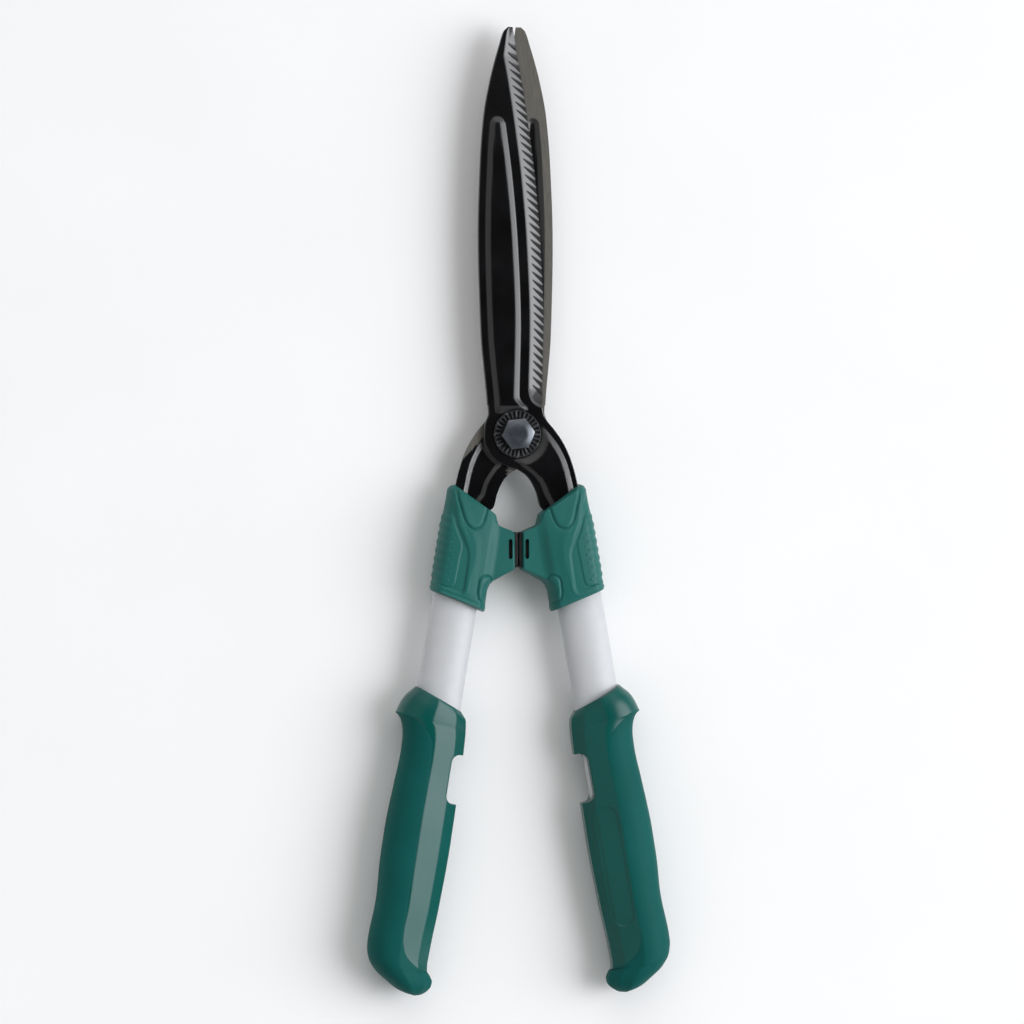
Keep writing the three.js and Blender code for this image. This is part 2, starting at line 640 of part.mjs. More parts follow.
function gripLoft(inset) {
	const shares = [
		-0.02, 0.02, 0.05, 0.085, 0.1, 0.12, 0.16, 0.205, 0.32, 0.45, 0.57, 0.71, 0.87, 0.905, 0.926,
		0.945, 0.96, 0.989, 1
	];
	const sections = shares.map((share) => gripSection(share, inset));
	return solid(new LoftGeometry(sections, { capStart: true, capEnd: true }));
}

// The area of the palm pad seen from the front: it springs from under the flange and wraps the end.
function padArea(grow) {
	const start = gripStart + 20 - grow;
	const end = gripStart + 0.93 * GRIP_LENGTH;
	const edge = PAD_EDGE - grow;
	const far = 60;
	const shape = new THREE.Shape();
	shape.moveTo(far, -start);
	shape.lineTo(14, -start);
	shape.quadraticCurveTo(edge, -start, edge, -start - 24);
	shape.lineTo(edge, -end + 8);
	shape.quadraticCurveTo(edge, -end - 6, -14 - grow, -end - 7);
	shape.lineTo(-14 - grow, -gripEnd - 5);
	shape.lineTo(far, -gripEnd - 5);
	return slab(shape, -2 * gripHalf, 2 * gripHalf);
}

function trimGripTop(body) {
	return body.subtract(solid(slantCut(gripStart, palmLine(0), GRIP_TOP_SLANT, 1)));
}

function gripGeometry() {
	const outside = gripLoft(0);
	const core = gripLoft(PAD_THICKNESS + CLEARANCE);
	let grip = outside.subtract(solid(padArea(CLEARANCE))).add(core);
	grip = trimGripTop(grip);
	const bore = ovalBar(
		TUBE_WIDTH + CLEARANCE, TUBE_THICKNESS + CLEARANCE, gripStart - 20, tubeEnd + CLEARANCE
	);
	const notch = new THREE.BoxGeometry(40, NOTCH_LENGTH, 4 * gripHalf)
		.translate(-notchFloor - 20, -notchStart - NOTCH_LENGTH / 2, 0);
	return geometryOf(grip.subtract(solid(bore)).subtract(solid(notch)));
}

function palmPadGeometry() {
	const outside = gripLoft(0).intersect(solid(padArea(0)));
	return geometryOf(outside.subtract(gripLoft(PAD_THICKNESS)));
}

// ---------------------------------------------------------------------------
// Assembly
// ---------------------------------------------------------------------------

const finishes = {
	blackSteel: { color: 0x0e0e10, roughness: 0.35, metalness: 0.6 },
	zinc: { color: 0x8c9096, roughness: 0.35, metalness: 0.9 },
	darkSteel: { color: 0x3c4047, roughness: 0.4, metalness: 0.8 },
	nylon: { color: 0xd8d4c4, roughness: 0.6, metalness: 0 },
	aluminium: { color: 0xd9dcde, roughness: 0.35, metalness: 0.7 },
	hardGreen: { color: 0x0a5a52, roughness: 0.3, metalness: 0 },
	softGreen: { color: 0x105d55, roughness: 0.7, metalness: 0 },
	whiteMoulding: { color: 0xc9c9c4, roughness: 0.6, metalness: 0 },
	rubber: { color: 0x17181a, roughness: 0.8, metalness: 0 }
};

function piece(name, geometry, finish) {
	const mesh = new THREE.Mesh(geometry, new THREE.MeshStandardMaterial(finishes[finish]));
	mesh.name = name;
	return mesh;
}

const shapes = {
	blade: bladeGeometry(),
	tube: tubeGeometry(),
	sleeve: sleeveGeometry(),
	rivet: rivetGeometry(),
	collar: collarGeometry(),
	bumper: bumperGeometry(),
	grip: gripGeometry(),
	palmPad: palmPadGeometry()
};

function arm(side, bladeName) {
	const group = new THREE.Group();
	group.add(piece(bladeName, shapes.blade, 'blackSteel'));
	group.add(piece(`${side}_collar`, shapes.collar, 'hardGreen'));
	group.add(piece(`${side}_bumper`, shapes.bumper, 'rubber'));
	const handle = new THREE.Group();
	handle.position.set(HANDLE_OFFSET, 0, 0);
	handle.rotation.z = THREE.MathUtils.degToRad(HANDLE_ANGLE);
	handle.add(piece(`${side}_tube`, shapes.tube, 'aluminium'));
	handle.add(piece(`${side}_tang_sleeve`, shapes.sleeve, 'whiteMoulding'));
	handle.add(piece(`${side}_grip`, shapes.grip, 'hardGreen'));
	handle.add(piece(`${side}_palm_pad`, shapes.palmPad, 'softGreen'));
	RIVET_STATIONS.forEach((station, i) => {
		const rivet = piece(`${side}_rivet_${i + 1}`, shapes.rivet, 'zinc');
		rivet.position.y = -station;
		handle.add(rivet);
	});
	group.add(handle);
	return group;
}

function pivotHardware() {
	const group = new THREE.Group();
	group.add(piece('pivot_bolt', boltGeometry(), 'darkSteel'));
	group.add(piece('toothed_lock_disc', lockDiscGeometry(), 'blackSteel'));
	group.add(piece('pivot_bush', pivotBushGeometry(), 'zinc'));
	group.add(piece('friction_washer', frictionWasherGeometry(), 'nylon'));
	group.add(piece('back_washer', backWasherGeometry(), 'zinc'));
	group.add(piece('spring_washer', springWasherGeometry(), 'zinc'));
	group.add(piece('lock_nut', lockNutGeometry(), 'zinc'));
	group.add(piece('nut_locking_ring', nylonRingGeometry(), 'nylon'));
	return group;
}

const shears = new THREE.Group();
const frontArm = arm('right', 'front_blade');
const rearArm = arm('left', 'rear_blade');
rearArm.rotation.y = Math.PI;
shears.add(frontArm, rearArm, pivotHardware());

// Set the shears down: centre of the footprint at the origin, lowest point at z = 0.
const footprint = new THREE.Box3().setFromObject(shears, true);
const middle = footprint.getCenter(new THREE.Vector3());
shears.position.set(-middle.x, -middle.y, -footprint.min.z);

export default shears;
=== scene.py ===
import json
import math

import bpy
import numpy as np
from mathutils import Matrix, Vector


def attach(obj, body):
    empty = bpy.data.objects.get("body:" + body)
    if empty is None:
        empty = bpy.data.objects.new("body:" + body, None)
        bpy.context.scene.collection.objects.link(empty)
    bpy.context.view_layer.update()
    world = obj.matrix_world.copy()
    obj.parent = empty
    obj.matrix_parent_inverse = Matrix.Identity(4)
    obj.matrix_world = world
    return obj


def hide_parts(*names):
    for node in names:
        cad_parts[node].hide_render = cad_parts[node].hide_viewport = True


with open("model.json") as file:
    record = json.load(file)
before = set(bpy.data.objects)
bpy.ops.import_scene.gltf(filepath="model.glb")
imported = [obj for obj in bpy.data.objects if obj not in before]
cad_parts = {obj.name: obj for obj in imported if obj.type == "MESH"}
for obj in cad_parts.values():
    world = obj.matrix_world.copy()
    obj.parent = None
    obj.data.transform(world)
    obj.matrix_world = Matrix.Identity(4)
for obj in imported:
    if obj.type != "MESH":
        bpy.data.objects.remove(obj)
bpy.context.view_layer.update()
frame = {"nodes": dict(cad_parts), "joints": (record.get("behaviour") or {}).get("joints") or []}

bl_info = {
    "name": "Hedge shears",
    "version": (1, 0, 0),
    "blender": (4, 5, 0),
    "location": "3D View > Sidebar > Shears",
    "description": "Builds the looks of a pair of hedge shears round its packed frame",
    "category": "Object",
}

PIVOT = Vector(frame["joints"][0]["pos_m"])
ARMS = {
    "right": {"body": "front_arm", "blade": "front_blade", "turned": False},
    "left": {"body": "rear_arm", "blade": "rear_blade", "turned": True},
}


# ----- Sizes and colours that a user would change -----


def length(name, words, metres):
    return bpy.props.FloatProperty(
        name=name, description=words, default=metres, min=0.0, unit="LENGTH", precision=4
    )


def colour(name, words, value):
    return bpy.props.FloatVectorProperty(
        name=name, description=words, default=value, size=3, subtype="COLOR", min=0.0, max=1.0
    )


class ShearsSizes(bpy.types.PropertyGroup):
    blade_length: length("Blade length", "Pivot centre to the blade tip", 0.238)
    back_offset: length("Back offset", "Pivot line to the widest point of the back", 0.0222)
    edge_offset: length("Edge offset", "Pivot line to the widest point of the edge", 0.01635)
    steel: length("Steel", "Thickness of the blade sheet", 0.003)
    blade_gap: length("Blade gap", "Between the inner faces of the blades", 0.0006)
    rib_height: length("Rib height", "How far the pressed rib stands out", 0.0011)
    bevel_width: length("Bevel width", "Ground bevel behind the cutting edge", 0.0089)
    flute_pitch: length("Flute pitch", "From one sap flute to the next", 0.00474)
    flute_depth: length("Flute depth", "Depth of a sap flute at the edge", 0.0006)
    spanner_size: length("Spanner size", "Across the flats of the bolt head", 0.017)
    disc_width: length("Lock disc", "Diameter of the toothed lock disc", 0.0276)
    handle_offset: length("Handle offset", "Handle axis to the pivot", 0.0204)
    tube_width: length("Tube width", "Oval tube across its flat way", 0.027)
    tube_thickness: length("Tube thickness", "Oval tube through its thin way", 0.016)
    handle_angle: bpy.props.FloatProperty(
        name="Handle angle", description="How far each handle leans out", default=math.radians(9.54),
        subtype="ANGLE"
    )


class ShearsColours(bpy.types.PropertyGroup):
    coat: colour("Blade coat", "Black coat on the steel", (0.0022, 0.0023, 0.0027))
    ground: colour("Ground steel", "Bare ground face of the blades", (0.11, 0.103, 0.088))
    bolt: colour("Bolt", "Phosphated bolt head", (0.09, 0.1, 0.115))
    zinc: colour("Zinc", "Zinc plated washers and nut", (0.56, 0.57, 0.58))
    tube: colour("Tube", "Satin aluminium tube", (0.55, 0.56, 0.575))
    collar: colour("Collar", "Moulded collar", (0.01, 0.12, 0.105))
    grip: colour("Grip", "Hard part of the grip", (0.001, 0.083, 0.071))
    pad: colour("Palm pad", "Soft part of the grip", (0.004, 0.088, 0.079))
    rubber: colour("Bumper", "Rubber bumper", (0.007, 0.0075, 0.008))


def sizes():
    return bpy.context.scene.shears_sizes


def colours():
    return bpy.context.scene.shears_colours


def mm(value):
    return value * 1000.0


# Shape helpers. Shapes are worked out in millimetres from the pivot, for the right arm: X to
# the right, Y to the blade tips, Z up from the plane between the blades.


def smooth_line(points):
    """A curve through the points that doesn't overshoot between them."""
    xs, ys = np.array(points, float).T
    chord = np.diff(ys) / np.diff(xs)
    both, total = chord[:-1] * chord[1:], chord[:-1] + chord[1:]
    slope = np.concatenate(([chord[0]], np.zeros(len(xs) - 2), [chord[-1]]))
    slope[1:-1] = np.where(both <= 0, 0, 2 * both / np.where(total == 0, 1, total))

    def line(x):
        x = np.clip(x, xs[0], xs[-1])
        i = np.clip(np.searchsorted(xs, x, side="right") - 1, 0, len(xs) - 2)
        step = xs[i + 1] - xs[i]
        u = (x - xs[i]) / step
        v = 1 - u
        ends = v * v * (1 + 2 * u) * ys[i] + u * u * (3 - 2 * u) * ys[i + 1]
        return ends + u * v * step * (v * slope[i] - u * slope[i + 1])

    return line


def ease(value):
    value = np.clip(value, 0, 1)
    return value * value * (3 - 2 * value)


def shoulder(inside, radius, power=2.2):
    """Share of full height at a distance inside a rounded rim."""
    near = 1 - np.clip(inside / radius, 0, 1)
    return (1 - near ** power) ** (1 / power)


def on_handle(out, along):
    lean = sizes().handle_angle
    x = mm(sizes().handle_offset) + out * math.cos(lean) + along * math.sin(lean)
    return x, out * math.sin(lean) - along * math.cos(lean)


def in_handle(x, y):
    lean = sizes().handle_angle
    across = x - mm(sizes().handle_offset)
    out = across * math.cos(lean) + y * math.sin(lean)
    return out, across * math.sin(lean) - y * math.cos(lean)


def distance_to(path, x, y):
    """Distance from each point to a line of straight pieces."""
    best = np.full(np.shape(x), 1e9)
    for (ax, ay), (bx, by) in zip(path[:-1], path[1:]):
        dx, dy = bx - ax, by - ay
        t = np.clip(((x - ax) * dx + (y - ay) * dy) / (dx * dx + dy * dy), 0, 1)
        best = np.minimum(best, np.hypot(x - ax - t * dx, y - ay - t * dy))
    return best


def within(path, x, y):
    """Distance inside a closed outline, and below nought outside it."""
    inside = np.zeros(np.shape(x), bool)
    for (ax, ay), (bx, by) in zip(path, path[1:] + path[:1]):
        crosses = (ay > y) != (by > y)
        at = ax + (y - ay) * (bx - ax) / (by - ay if by != ay else 1)
        inside ^= crosses & (x < at)
    far = distance_to(path + path[:1], x, y)
    return np.where(inside, far, -far)


# ----- Making pieces -----


def clear_choice():
    if bpy.context.object and bpy.context.object.mode != "OBJECT":
        bpy.ops.object.mode_set(mode="OBJECT")
    bpy.ops.object.select_all(action="DESELECT")


def choose(piece):
    clear_choice()
    piece.select_set(True)
    bpy.context.view_layer.objects.active = piece


def in_edit(piece, *steps, whole=True):
    """Runs edit-mode steps on the whole piece, or on the faces already picked."""
    choose(piece)
    bpy.ops.object.mode_set(mode="EDIT")
    if whole:
        pick_all()
    for step in steps:
        step()
    bpy.ops.object.mode_set(mode="OBJECT")


def pick_all():
    bpy.ops.mesh.select_all(action="SELECT")


def lengthen(distance):
    bpy.ops.mesh.extrude_region_move(TRANSFORM_OT_translate={"value": (0, 0, distance / 1000)})


def merge_doubles():
    bpy.ops.mesh.remove_doubles(threshold=2e-6)


def close_ends():
    bpy.ops.mesh.fill_holes(sides=0)


def face_out():
    bpy.ops.mesh.normals_make_consistent(inside=False)


def skin(name, points, marks=None):
    """A closed skin: a grid laid over rows of points, its seam merged and its ends filled."""
    clear_choice()
    rows, columns = points.shape[:2]
    bpy.ops.mesh.primitive_grid_add(x_subdivisions=columns - 1, y_subdivisions=rows - 1, size=1)
    piece = bpy.context.object
    piece.name = piece.data.name = name
    flat = np.empty(len(piece.data.vertices) * 3)
    piece.data.vertices.foreach_get("co", flat)
    flat = flat.reshape(-1, 3)
    if len(flat) != rows * columns:
        raise RuntimeError(f"{name}: the grid has {len(flat)} points, not {rows * columns}")
    column = np.rint((flat[:, 0] + 0.5) * (columns - 1)).astype(int)
    row = np.rint((flat[:, 1] + 0.5) * (rows - 1)).astype(int)
    placed = points[row, column] / 1000.0 + np.array(PIVOT)
    piece.data.vertices.foreach_set("co", placed.ravel())
    for mark, values in (marks or {}).items():
        layer = piece.data.attributes.new(mark, "FLOAT", "POINT")
        layer.data.foreach_set("value", values[row, column].ravel())
    piece.data.update()
    in_edit(piece, merge_doubles, close_ends, face_out)
    return piece


def apply_modifier(piece, kind, **values):
    choose(piece)
    modifier = piece.modifiers.new(kind.title(), kind)
    for key, value in values.items():
        setattr(modifier, key, value)
    bpy.ops.object.modifier_apply(modifier=modifier.name)


def cut(piece, tool, operation="DIFFERENCE"):
    apply_modifier(piece, "BOOLEAN", object=tool, operation=operation, solver="EXACT")
    bpy.data.objects.remove(tool)


def round_edges(piece, width, angle, segments=2):
    """Rounds the edges that turn by more than the angle, in millimetres and degrees."""
    apply_modifier(piece, "BEVEL", width=width / 1000, segments=segments, limit_method="ANGLE",
                   angle_limit=math.radians(angle))


def soften(piece, angle):
    choose(piece)
    bpy.ops.object.shade_smooth_by_angle(angle=math.radians(angle))


def settle(piece, name, body, nodes, material):
    """Gives a finished piece its place, name, body and finish."""
    choose(piece)
    bpy.ops.object.transform_apply(location=True, rotation=True, scale=True)
    piece.name = piece.data.name = name
    kinds = [face.material_index for face in piece.data.polygons]
    piece.data.materials.clear()
    for one in material if isinstance(material, tuple) else (material,):
        piece.data.materials.append(one)
    piece.data.polygons.foreach_set("material_index", kinds)
    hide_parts(*nodes)
    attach(piece, body)
    return piece


def other_arm(piece, name):
    """A copy with its own mesh, turned half a turn about the length of the shears."""
    twin = piece.copy()
    twin.data = piece.data.copy()
    twin.name = twin.data.name = name
    bpy.context.collection.objects.link(twin)
    turn = Matrix.Rotation(math.pi, 4, "Y")
    twin.data.transform(Matrix.Translation(PIVOT) @ turn @ Matrix.Translation(-PIVOT))
    return twin


def both_arms(piece, noun, material):
    """Settles the right-hand piece and its left-hand twin."""
    twin = other_arm(piece, "left")
    for side, one in (("right", piece), ("left", twin)):
        nodes = [f"{side}_{noun}"] if noun != "blade" else [ARMS[side]["blade"]]
        settle(one, nodes[0] + "_shape", ARMS[side]["body"], nodes, material)


def make_pair(make, angle, noun, material):
    """Makes a piece for both arms, smooth where it turns by less than the angle."""
    piece = make()
    soften(piece, angle)
    both_arms(piece, noun, material)
    return {"FINISHED"}


def turned_ring(name, profile, steps=96):
    """A piece turned about the pivot from [radius, height] pairs that go round its section."""
    clear_choice()
    bpy.ops.mesh.primitive_plane_add(size=1)
    piece = bpy.context.object
    piece.name = name
    in_edit(piece, lambda: bpy.ops.mesh.delete(type="VERT"))
    corners = [(r / 1000.0, 0.0, z / 1000.0) for r, z in profile]
    edges = [(i, i + 1) for i in range(len(corners) - 1)]
    piece.data.from_pydata(corners, edges, [])
    in_edit(piece, lambda: bpy.ops.mesh.spin(steps=steps, angle=2 * math.pi, center=(0, 0, 0),
                                             axis=(0, 0, 1)), pick_all, merge_doubles, face_out)
    piece.data.transform(Matrix.Translation(PIVOT))
    return piece


# ----- Materials -----


class Nodes:
    """Short words for placing and joining shader nodes."""

    def __init__(self, tree):
        self.tree = tree

    def add(self, kind, **inputs):
        node = self.tree.nodes.new(kind)
        for key, value in inputs.items():
            self.put(node, key.replace("_", " "), value)
        return node

    def put(self, node, key, value):
        socket = node.inputs[key]
        if isinstance(value, bpy.types.NodeSocket):
            self.tree.links.new(value, socket)
        else:
            socket.default_value = value

    def sum(self, operation, a, b=0.5):
        node = self.tree.nodes.new("ShaderNodeMath")
        node.operation = operation
        node.use_clamp = True
        self.put(node, 0, a)
        self.put(node, 1, b)
        return node.outputs[0]

    def spread(self, value, low, high, to_low=0.0, to_high=1.0):
        node = self.tree.nodes.new("ShaderNodeMapRange")
        self.put(node, "Value", value)
        for key, amount in zip(("From Min", "From Max", "To Min", "To Max"), (low, high, to_low, to_high)):
            self.put(node, key, amount)
        return node.outputs["Result"]

    def blend(self, share, a, b):
        node = self.tree.nodes.new("ShaderNodeMix")
        node.data_type = "RGBA"
        self.put(node, 0, share)
        self.put(node, 6, a)
        self.put(node, 7, b)
        return node.outputs[2]

    def grain(self, scale, stretch=(1, 1, 1), detail=3.0, turn=0.0):
        """Noise on the piece's own coordinates, stretched and turned."""
        place = self.add("ShaderNodeTexCoord").outputs["Object"]
        mapping = self.add("ShaderNodeMapping", Vector=place)
        mapping.inputs["Scale"].default_value = stretch
        mapping.inputs["Rotation"].default_value = (0, 0, turn)
        noise = self.add("ShaderNodeTexNoise", Vector=mapping.outputs["Vector"])
        noise.inputs["Scale"].default_value = scale
        noise.inputs["Detail"].default_value = detail
        return noise.outputs["Fac"]


def group_of(name, inputs, outputs, fill):
    """A shader node group with named inputs and outputs, built once."""
    if name in bpy.data.node_groups:
        return bpy.data.node_groups[name]
    group = bpy.data.node_groups.new(name, "ShaderNodeTree")
    for title, kind, value in inputs:
        socket = group.interface.new_socket(title, in_out="INPUT", socket_type=kind)
        socket.default_value = value
    for title, kind in outputs:
        group.interface.new_socket(title, in_out="OUTPUT", socket_type=kind)
    begin = group.nodes.new("NodeGroupInput")
    end = group.nodes.new("NodeGroupOutput")
    fill(Nodes(group), begin.outputs, end.inputs)
    return group


def edge_wear_group():
    """Rubbed edges: a mask that is strongest on outer corners and broken up by noise."""

    def fill(nodes, given, out):
        geometry = nodes.add("ShaderNodeNewGeometry")
        corner = nodes.spread(geometry.outputs["Pointiness"], 0.52, 0.6)
        patchy = nodes.spread(nodes.grain(140.0), 0.35, 0.7)
        worn = nodes.sum("MULTIPLY", corner, patchy)
        nodes.tree.links.new(nodes.sum("MULTIPLY", worn, given["Amount"]), out["Mask"])

    return group_of(
        "edge wear", [("Amount", "NodeSocketFloat", 0.5)], [("Mask", "NodeSocketFloat")], fill
    )


def mould_grain_group():
    """Fine spark-eroded mould texture, with a slow cloud over it."""

    def fill(nodes, given, out):
        place = nodes.add("ShaderNodeTexCoord").outputs["Object"]
        fine = nodes.add("ShaderNodeTexNoise", Vector=place, Scale=given["Scale"])
        fine.inputs["Detail"].default_value = 4.0
        nodes.tree.links.new(fine.outputs["Fac"], out["Height"])
        nodes.tree.links.new(nodes.spread(nodes.grain(28.0), 0.3, 0.7), out["Cloud"])

    return group_of(
        "mould grain", [("Scale", "NodeSocketFloat", 1800.0)],
        [("Height", "NodeSocketFloat"), ("Cloud", "NodeSocketFloat")], fill
    )


def dust_group():
    """A thin film of dust that settles in patches."""

    def fill(nodes, given, out):
        patches = nodes.spread(nodes.grain(60.0, detail=6.0), 0.45, 0.8)
        specks = nodes.spread(nodes.grain(900.0), 0.62, 0.72)
        film = nodes.sum("MAXIMUM", nodes.sum("MULTIPLY", patches, 0.35), specks)
        nodes.tree.links.new(nodes.sum("MULTIPLY", film, given["Amount"]), out["Mask"])

    return group_of(
        "dust", [("Amount", "NodeSocketFloat", 0.1)], [("Mask", "NodeSocketFloat")], fill
    )


def new_material(name):
    material = bpy.data.materials.new(name)
    material.use_nodes = True
    tree = material.node_tree
    return material, Nodes(tree), tree.nodes["Principled BSDF"]


def placed_group(nodes, group, **values):
    node = nodes.tree.nodes.new("ShaderNodeGroup")
    node.node_tree = group
    for key, value in values.items():
        node.inputs[key].default_value = value
    return node.outputs


def bump(nodes, shader, height, strength, reach):
    node = nodes.add("ShaderNodeBump", Height=height, Strength=strength, Distance=reach)
    nodes.put(shader, "Normal", node.outputs["Normal"])


def rgba(value, gain=1.0):
    return (value[0] * gain, value[1] * gain, value[2] * gain, 1.0)


def blade_finish():
    material, nodes, shader = new_material("blade coat and ground steel")
    bare = nodes.add("ShaderNodeAttribute")
    bare.attribute_name = "ground"
    ground = bare.outputs["Fac"]
    worn = placed_group(nodes, edge_wear_group(), Amount=0.5)["Mask"]
    cloud = nodes.spread(nodes.grain(45.0, detail=5.0), 0.3, 0.7)
    coat = nodes.blend(cloud, rgba(colours().coat, 0.8), rgba(colours().coat, 1.5))
    coat = nodes.blend(nodes.sum("MULTIPLY", worn, 0.35), coat, (0.12, 0.12, 0.12, 1))
    lines = nodes.grain(220.0, stretch=(14.0, 0.7, 1.0), detail=4.0)
    steel = nodes.blend(nodes.spread(lines, 0.3, 0.7), rgba(colours().ground, 0.75),
                        rgba(colours().ground, 1.2))
    nodes.put(shader, "Base Color", nodes.blend(ground, coat, steel))
    nodes.put(shader, "Metallic", nodes.sum("MULTIPLY", ground, 0.5))
    flute = nodes.add("ShaderNodeAttribute")
    flute.attribute_name = "flute"
    satin = nodes.spread(flute.outputs["Fac"], 0.0, 1.0, nodes.spread(cloud, 0.0, 1.0, 0.13, 0.17), 0.5)
    nodes.put(shader, "Roughness", nodes.spread(ground, 0.0, 1.0, satin, 0.55))
    shader.inputs["IOR"].default_value = 1.72
    orange_peel = nodes.grain(2600.0, detail=2.0)
    bump(nodes, shader, nodes.blend(ground, orange_peel, lines), 0.06, 0.00006)
    return material


def metal_finish(name, base, roughness, metallic, wear=0.2, brushed=None, clouds=0.13):
    material, nodes, shader = new_material(name)
    cloud = nodes.spread(nodes.grain(160.0, detail=5.0), 0.3, 0.7)
    tint = nodes.blend(cloud, rgba(base, 1 - clouds), rgba(base, 1 + clouds))
    worn = placed_group(nodes, edge_wear_group(), Amount=wear)["Mask"]
    nodes.put(shader, "Base Color", nodes.blend(worn, tint, (0.6, 0.6, 0.6, 1)))
    shader.inputs["Metallic"].default_value = metallic
    nodes.put(shader, "Roughness", nodes.spread(cloud, 0.0, 1.0, roughness * (1 - clouds),
                                                roughness * (1 + clouds)))
    height = nodes.grain(*brushed[:1], stretch=brushed[1], turn=brushed[2]) if brushed \
        else nodes.grain(1500.0)
    bump(nodes, shader, height, 0.1, 0.00005)
    return material


def moulded_finish(name, base, roughness, scale, strength, dust=0.05, specular=0.5):
    material, nodes, shader = new_material(name)
    grain = placed_group(nodes, mould_grain_group(), Scale=scale)
    worn = placed_group(nodes, edge_wear_group(), Amount=0.22)["Mask"]
    film = placed_group(nodes, dust_group(), Amount=dust)["Mask"]
    tint = nodes.blend(grain["Cloud"], rgba(base, 0.93), rgba(base, 1.07))
    tint = nodes.blend(worn, tint, rgba([v * 2.4 + 0.03 for v in base]))
    nodes.put(shader, "Base Color", nodes.blend(film, tint, (0.3, 0.31, 0.3, 1)))
    nodes.put(shader, "Roughness", nodes.spread(grain["Height"], 0.2, 0.8, roughness * 0.9,
                                                roughness * 1.1))
    shader.inputs["Specular IOR Level"].default_value = specular
    bump(nodes, shader, grain["Height"], strength, 0.00012)
    return material


# ----- Blades -----

BACK_LINE = smooth_line([
    (0, -0.76), (0.05, -0.77), (0.25, -0.94), (0.48, -1), (0.67, -0.936), (0.78, -0.84),
    (0.865, -0.676), (0.96, -0.4), (0.99, -0.29), (1, -0.18)
])
EDGE_LINE = smooth_line([
    (0, 0.93), (0.07, 0.932), (0.28, 1), (0.46, 0.913), (0.61, 0.75), (0.74, 0.53),
    (0.865, 0.267), (0.93, 0.1), (0.985, -0.025), (1, -0.06)
])
# The swan neck: pairs of points on its two sides, from the blade down to the tongue's root.
NECK_SIDES = [
    (-16.9, 16.5, 15.0, 16.4), (-16.7, 12, 16.0, 11.0), (-18.95, 5, 18.6, 6.8),
    (-19.4, -3, 21.0, 3.9), (-17, -9.8, 24.0, 0.0), (-12, -15.5, 27.4, -5.2),
    (-5, -19, 30.5, -11.5), (0, -20.7, 32.8, -17.9), (6.6, -25.6, 34.8, -25),
    (11.3, -34.7, 36.6, -34), (13.5, -42.5, 37.4, -41.5), (18.4, -46.6, 38.0, -47.9)
]
# Feet of the pressed panel on the tang, as [Y, X].
PANEL_RIGHT = smooth_line([
    (-50, 35.86), (-31, 32.73), (-18.5, 29.7), (-7.6, 24.65), (2, 17.48), (12, 10.61)
])
PANEL_LEFT = smooth_line([
    (-46, 21.72), (-40.4, 18.79), (-35.7, 16.06), (-30.4, 14.04), (-26.3, 11.72), (-22.5, 7.58),
    (-18.5, 2.53), (-8, -12.62)
])
# Where the bevel runs out at the heel, as [Y, X].
HEEL_LINE = smooth_line([
    (15, 14.6), (16.4, 14.2), (18, 11.8), (19.6, 10), (21.6, 9.2), (22.8, 10), (25.1, 12.3), (27.5, 15.3),
    (30, 24), (60, 60)
])
HOLLOW_LEFT = smooth_line([
    (-46, 24.75), (-38.3, 21.32), (-35.1, 18.89), (-29.5, 17.18), (-24.6, 14.55), (-19.9, 11.12), (-12, 2.53)
])


RIB_ROUND = 181.0  # where the rib's rounded upper end begins
TANG_HEIGHT = 1.0  # how far the panel on the tang stands out
FOOT = 17.0  # where the straight rows of the blade end and the swan neck begins
LAST_FLUTE = 26.5
EDGE_STEEL = 0.5  # left at the cutting edge
CREST_ROUND = 2.8  # width of the rounding between the flat and the bevel
BORE_RADIUS, BORE_DEPTH = 6.65, 8


def pressed(inside, slope):
    """Height share of a pressed step: a sharp foot and a soft shoulder."""
    share = np.clip(inside / slope, 0, 1)
    return np.where(share < 0.444, 1.385 * share, 1 - 1.245 * (1 - share) ** 2)


